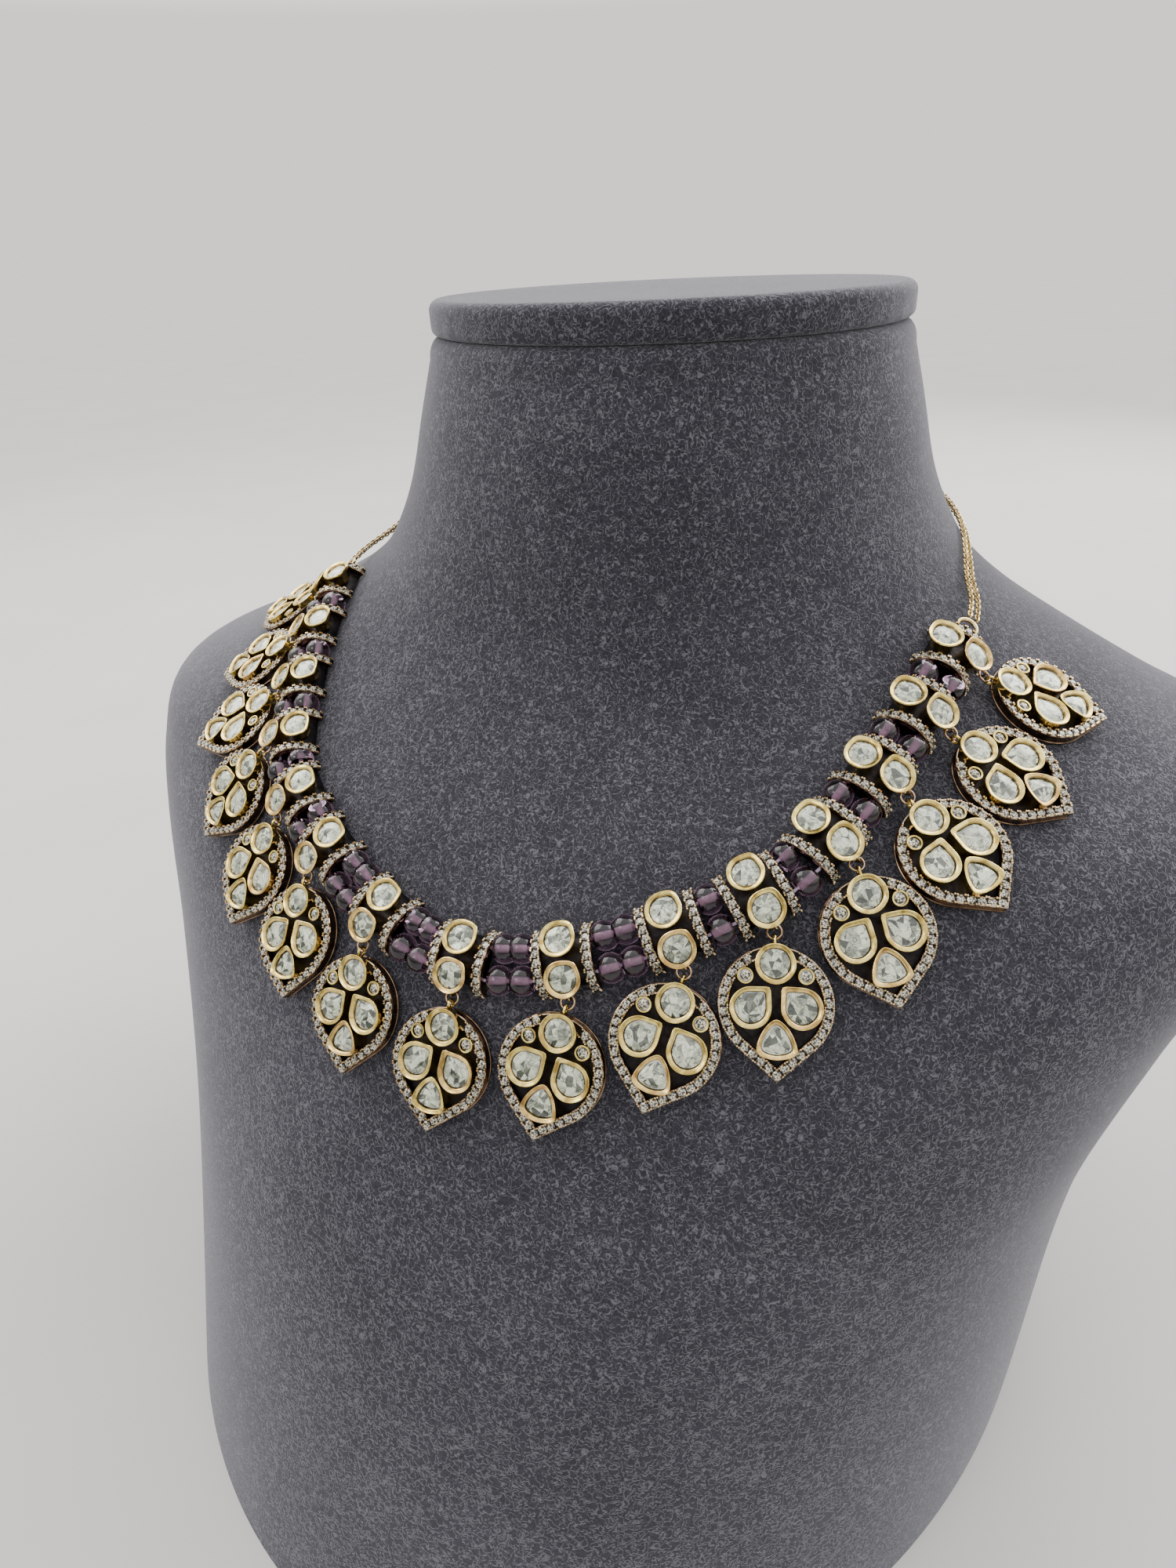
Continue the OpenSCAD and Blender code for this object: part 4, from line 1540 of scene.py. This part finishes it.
    def build(self) -> None:
        """Builds every pendant and all their kundan stones."""
        tray, stones = self.tray(), Shape()
        for i in self.strand.numbers:
            rng, jewel = random.Random(300 + i), Shape()
            place = self.strand.pendants[i].matrix()
            jewel.take(tray)
            for k, (outline, size, where) in enumerate(self.settings()):
                foot = 0.6 if k == 0 else 0.25
                gold = Finish.COPPER if k > 1 and rng.random() < 0.35 else Finish.BEZEL
                bezel = self.setter.bezel(outline, size, self.cup(self.top, foot), rng, gold)
                jewel.take(bezel, where)
                share = 0.65 if k == len(self.settings()) - 1 else 0.70
                stone = self.setter.kundan(outline, share, self.top - 1.12, self.top - 0.30, rng)
                stones.take(stone, place @ where)
            jewel.take(self.tiny_bezels(rng))
            jewel.take(self.eye())
            whole, mark = Shape(), number(i)
            whole.take(jewel, place)
            whole.piece(f"leaf_{mark}", self.setter.wardrobe, "antique_gold", f"pendant_{mark}")
        stones.piece("leaf_stones", self.setter.wardrobe, "kundan_stone", "pendant_stones")


# Beads and findings


@dataclass
class GlassBeads:
    """The two rows of glass rondelles."""

    strand: StrandLine
    wardrobe: Wardrobe
    bore_r: float = 0.55
    band: float = 0.68
    swell: float = 0.04
    sides: int = 40
    lean: float = 1.8

    def bead(self, length: float) -> Shape:
        """Returns a rondelle whose hole runs along X.

        Args:
            length: Its length along the hole.

        Returns:
            The rondelle.
        """
        half, r = length / 2 + self.swell, self.strand.bead_d / 2
        shoulder_r = math.sqrt(r * r - length * length / 4) - 0.09
        flat = 1 - (shoulder_r / r) ** 2
        outer = [
            (half * x, r * math.sqrt(1 - flat * x * x))
            for x in (-math.cos(math.pi * k / 18) for k in range(19))
        ]
        lip, band = self.bore_r + 0.12, self.band * half
        profile = [(-half + 0.1, self.bore_r), (-half, lip), *outer, (half, lip), (half - 0.1, self.bore_r)]
        profile += [(band, self.bore_r), (-band, self.bore_r)]
        rings = [[Vector((x, q * c, q * s)) for c, s in unit_circle(self.sides)] for x, q in profile]
        shape = Shape()
        clear = [Finish.GLASS] * (len(profile) - 2)
        shape.loft(rings, clear + [Finish.CORE, Finish.GLASS], looped=True)
        return shape

    def build(self) -> None:
        """Builds both rows and dresses the threads."""
        for row, name in ((1, "beads_upper"), (-1, "beads_lower")):
            shape, rng = Shape(), random.Random(row)
            for spot, length in self.strand.bead_spots(row):
                turns = Euler([math.radians(rng.uniform(-self.lean, self.lean)) for _ in range(3)])
                shape.take(self.bead(length), spot.matrix() @ turns.to_matrix().to_4x4())
            shape.piece(f"glass_{name}", self.wardrobe, "purple_glass", name)
        for name in ("thread_upper", "thread_lower"):
            dress_node(name, self.wardrobe[Finish.THREAD])


@dataclass
class Chains:
    """Two fine link strands on each side, from the end rings round the neck to the clasp."""

    strand: StrandLine
    wardrobe: Wardrobe
    back_z: float = 207.0
    strand_d: float = 1.5
    gap: float = 0.3
    clasp_len: float = 12.0
    end_wire: float = 0.9
    end_r: float = 2.2
    eye_wire: float = 0.5
    link_len: float = 1.9
    link_w: float = 1.48
    link_wire: float = 0.38
    pitch: float = 1.16
    steps: int = 96
    # [way round, rise, extra lift off the bust], all shares
    route: tuple[tuple[float, float, float], ...] = (
        (0.00, 0.00, 1.00),
        (0.05, 0.14, 0.75),
        (0.12, 0.36, 0.15),
        (0.25, 0.66, 0.00),
        (0.45, 0.90, 0.00),
        (0.70, 1.00, 0.00),
        (1.00, 1.00, 0.00),
    )

    def start_length(self) -> float:
        """Returns the length along the strand at which a chain starts."""
        eye_r = self.end_wire / 2 + self.eye_wire / 2 + 0.15
        ring_x = self.strand.station_w / 2 + eye_r + self.eye_wire / 2 - 0.1 + self.end_r
        return self.strand.along(self.strand.last) + ring_x + self.end_r + self.end_wire / 2 + self.gap

    def centre_line(self, side: int) -> list[tuple[Vector, Vector]]:
        """Returns the points midway between a side's strands, with the bust's normals.

        Args:
            side: 1 for the wearer's left, -1 for the right.

        Returns:
            The points and normals, from the end ring to the clasp.
        """
        form, s = self.strand.form, self.strand
        t0 = s.angle(self.start_length())
        z0 = s.level(t0)
        spare = math.degrees(math.asin((self.clasp_len / 2 + self.gap) / form.half_width(self.back_z)))
        rest = self.strand_d / 2 + s.bead_seat
        line = []
        for k in range(self.steps + 1):
            u = k / self.steps
            t = side * (t0 + (180 - spare - t0) * u)
            z = z0 + (self.back_z - z0) * smooth_row(self.route, 1, u)
            lift = rest + (s.thread_z + s.station_seat - rest) * smooth_row(self.route, 2, u)
            n = form.normal(t, z)
            line.append((form.skin(t, z) + lift * n, n))
        return line

    def link(self) -> Shape:
        """Returns an oval link along X."""
        shape, rings = Shape(), []
        straight = (self.link_len - self.link_w) / 2
        r = (self.link_w - self.link_wire) / 2
        for ca, sa in unit_circle(14):
            centre = Vector((r * ca + math.copysign(straight, ca), r * sa, 0))
            way = Vector((ca, sa, 0))
            rings.append(
                [
                    centre + self.link_wire / 2 * (c * way + s * Vector((0, 0, 1)))
                    for c, s in unit_circle(6)
                ]
            )
        shape.loft(rings, Finish.CHAIN, looped=True)
        return shape

    def build(self) -> None:
        """Builds the four strands."""
        tree = ChainTree()
        link = place_object("one_link", self.link().mesh("one_link", self.wardrobe, 1.0))
        for side, word in ((-1, "left"), (1, "right")):
            line = self.centre_line(side)
            for row, level in ((1, "upper"), (-1, "lower")):
                points = []
                for k, (p, n) in enumerate(line):
                    before, after = line[max(k - 1, 0)][0], line[min(k + 1, len(line) - 1)][0]
                    across = n.cross((after - before).normalized()).normalized()
                    points.append(p + row * side * (self.strand_d + self.gap) / 2 * across)
                length = sum((b - a).length for a, b in zip(points, points[1:]))
                values = {
                    "Links": round(length / self.pitch),
                    "Axis": (0.0, self.strand.form.neck_y, 0.0),
                    "Lean": math.pi / 4,
                    "Link": link,
                    "Finish": self.wardrobe[Finish.CHAIN],
                }
                mesh = tree.run(self.trimmed(points), values)
                mesh.name = f"links_{word}_{level}"
                mesh.transform(Matrix.Scale(MM, 4))
                piece = place_object(mesh.name, mesh)
                finish_piece(piece, f"chain_{word}_{level}")
        bpy.data.objects.remove(link)

    def trimmed(self, points: list[Vector]) -> list[Vector]:
        """Returns a line shortened by half a link at each end."""
        first = points[0] + (points[1] - points[0]).normalized() * self.link_len / 2
        last = points[-1] + (points[-2] - points[-1]).normalized() * self.link_len / 2
        return [first, *points[2:-2], last]


def dress_node(name: str, material: bpy.types.Material) -> None:
    """Gives a solid of the frame a material and leaves its shape alone."""
    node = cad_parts[name]
    node.data.materials.clear()
    node.data.materials.append(material)
    LOG.info("%s: dressed", name)


def dress_findings(strand: StrandLine, wardrobe: Wardrobe) -> None:
    """Dresses the rings and the clasp."""
    for i in strand.numbers:
        dress_node(f"jump_ring_{number(i)}", wardrobe[Finish.RING])
    for name in ("end_ring_left", "end_ring_right", "clasp"):
        dress_node(name, wardrobe[Finish.CHAIN])


# Camera, floor and light


@dataclass(frozen=True)
class Studio:
    """The camera at the photograph's angle, a pale floor and soft light."""

    neck_y: float
    # Place of the camera from the neck's axis on the floor
    place: tuple[float, float, float] = (85.2, -240.7, 265.8)
    yaw: float = 25.18
    pitch: float = 30.17
    roll: float = -2.80
    focal_px: float = 1179.04
    tall_px: float = 2000.0

    def build(self) -> None:
        """Builds camera, floor and lights."""
        self.build_camera()
        self.build_floor()
        self.build_lights()

    def build_camera(self) -> None:
        """Sets the camera where the photograph was taken from."""
        yaw, pitch, roll = (math.radians(a) for a in (self.yaw, self.pitch, self.roll))
        level = math.cos(pitch)
        ahead = Vector((-math.sin(yaw) * level, math.cos(yaw) * level, -math.sin(pitch)))
        right = Vector((math.cos(yaw), math.sin(yaw), 0))
        up = right.cross(ahead)
        x = math.cos(roll) * right + math.sin(roll) * up
        y = -math.sin(roll) * right + math.cos(roll) * up
        data = bpy.data.cameras.new("camera")
        data.sensor_fit = "VERTICAL"
        data.sensor_height = 36.0
        data.lens = self.focal_px * data.sensor_height / self.tall_px
        data.clip_start = 0.01
        camera = bpy.data.objects.new("camera", data)
        turn = Matrix((x, y, -ahead)).transposed().to_4x4()
        stand = Vector(self.place) + Vector((0, self.neck_y, 0))
        camera.matrix_world = Matrix.Translation(stand * MM) @ turn
        bpy.context.scene.collection.objects.link(camera)
        bpy.context.scene.camera = camera

    def build_floor(self) -> None:
        """Lays a plain pale floor."""
        size = 6.0
        corners = [(-size, -size, 0), (size, -size, 0), (size, size, 0), (-size, size, 0)]
        mesh = bpy.data.meshes.new("floor")
        mesh.from_pydata(corners, [], [(0, 1, 2, 3)])
        pale = MattFinish((0.43, 0.424, 0.413), (0.46, 0.453, 0.442), 8)
        mesh.materials.append(pale.material("pale_floor"))
        place_object("floor", mesh)

    def build_lights(self) -> None:
        """Adds soft window-like lights and a surround that is brighter above and behind."""
        world = bpy.data.worlds.new("surround")
        bpy.context.scene.world = world
        world.use_nodes = True
        n = NodeMaker(world.node_tree)
        back = n.tree.nodes["Background"].inputs
        way = n.add("ShaderNodeTexCoord").outputs["Generated"]
        parts = n.add("ShaderNodeSeparateXYZ", {0: way}).outputs
        low, high, top = (1.10, 1.06, 0.99), (3.0, 2.96, 2.85), (2.6, 2.6, 2.6)
        n.feed(n.ramp(parts["Z"], ((0.0, low), (0.17, low), (0.28, high), (1.0, top))), back["Color"])
        share = n.spread(parts["Y"], 0.42, 1.0, start=-0.9, stop=0.6)
        n.feed(n.calc("MULTIPLY", share, 1.05), back["Strength"])
        self.panel("key", (-0.85, 0.15, 0.95), (0.0, -0.04, 0.16), 0.8, 9.0, (1.0, 0.98, 0.94))
        self.panel("back", (0.45, 1.0, 0.9), (0.0, 0.0, 0.2), 1.2, 22.0, (1.0, 0.99, 0.96))
        self.panel("front", (-0.55, -0.8, 0.9), (0.0, -0.04, 0.16), 0.35, 2.0, (1.0, 0.97, 0.93))

    @staticmethod
    def panel(
        name: str,
        place: tuple[float, float, float],
        target: tuple[float, float, float],
        size: float,
        power: float,
        colour: Colour,
    ) -> None:
        """Adds a soft square light.

        Args:
            name: Its name.
            place: Where it stands, in metres.
            target: What it faces.
            size: Its width.
            power: Its power in watts.
            colour: Its colour.
        """
        data = bpy.data.lights.new(name, "AREA")
        data.size, data.energy, data.color = size, power, colour
        light = bpy.data.objects.new(name, data)
        light.location = place
        light.rotation_euler = (Vector(target) - Vector(place)).to_track_quat("-Z", "Y").to_euler()
        bpy.context.scene.collection.objects.link(light)


def check_places(strand: StrandLine) -> None:
    """Reports how far the worked-out places are from the frame's own.

    Args:
        strand: The strand whose places are checked.
    """
    for i in (-7, -3, 0, 4, 7):
        low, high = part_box(f"jump_ring_{number(i)}")
        eye = strand.stations[i].at(*strand.station_eye)
        other = strand.pendants[i].at(*strand.pendant_eye)
        miss = ((low + high) / 2 / MM - (eye + other) / 2).length
        LOG.info("jump ring %d lies %.3f mm from its worked-out place", i + 8, miss)


def main() -> None:
    """Builds the bust, the jewels, the beads and the chains, then the studio."""
    logging.basicConfig(level=logging.INFO, format="%(message)s")
    wardrobe = Wardrobe()
    form = BustForm.from_frame()
    strand = StrandLine(form)
    Studio(form.neck_y).build()
    check_places(strand)
    Bust(form, wardrobe).build()
    setter = Setter(wardrobe)
    StationJewel(strand, setter).build()
    PendantJewel(strand, setter).build()
    setter.put_away()
    GlassBeads(strand, wardrobe).build()
    Chains(strand, wardrobe).build()
    dress_findings(strand, wardrobe)


if __name__ == "__main__":
    main()
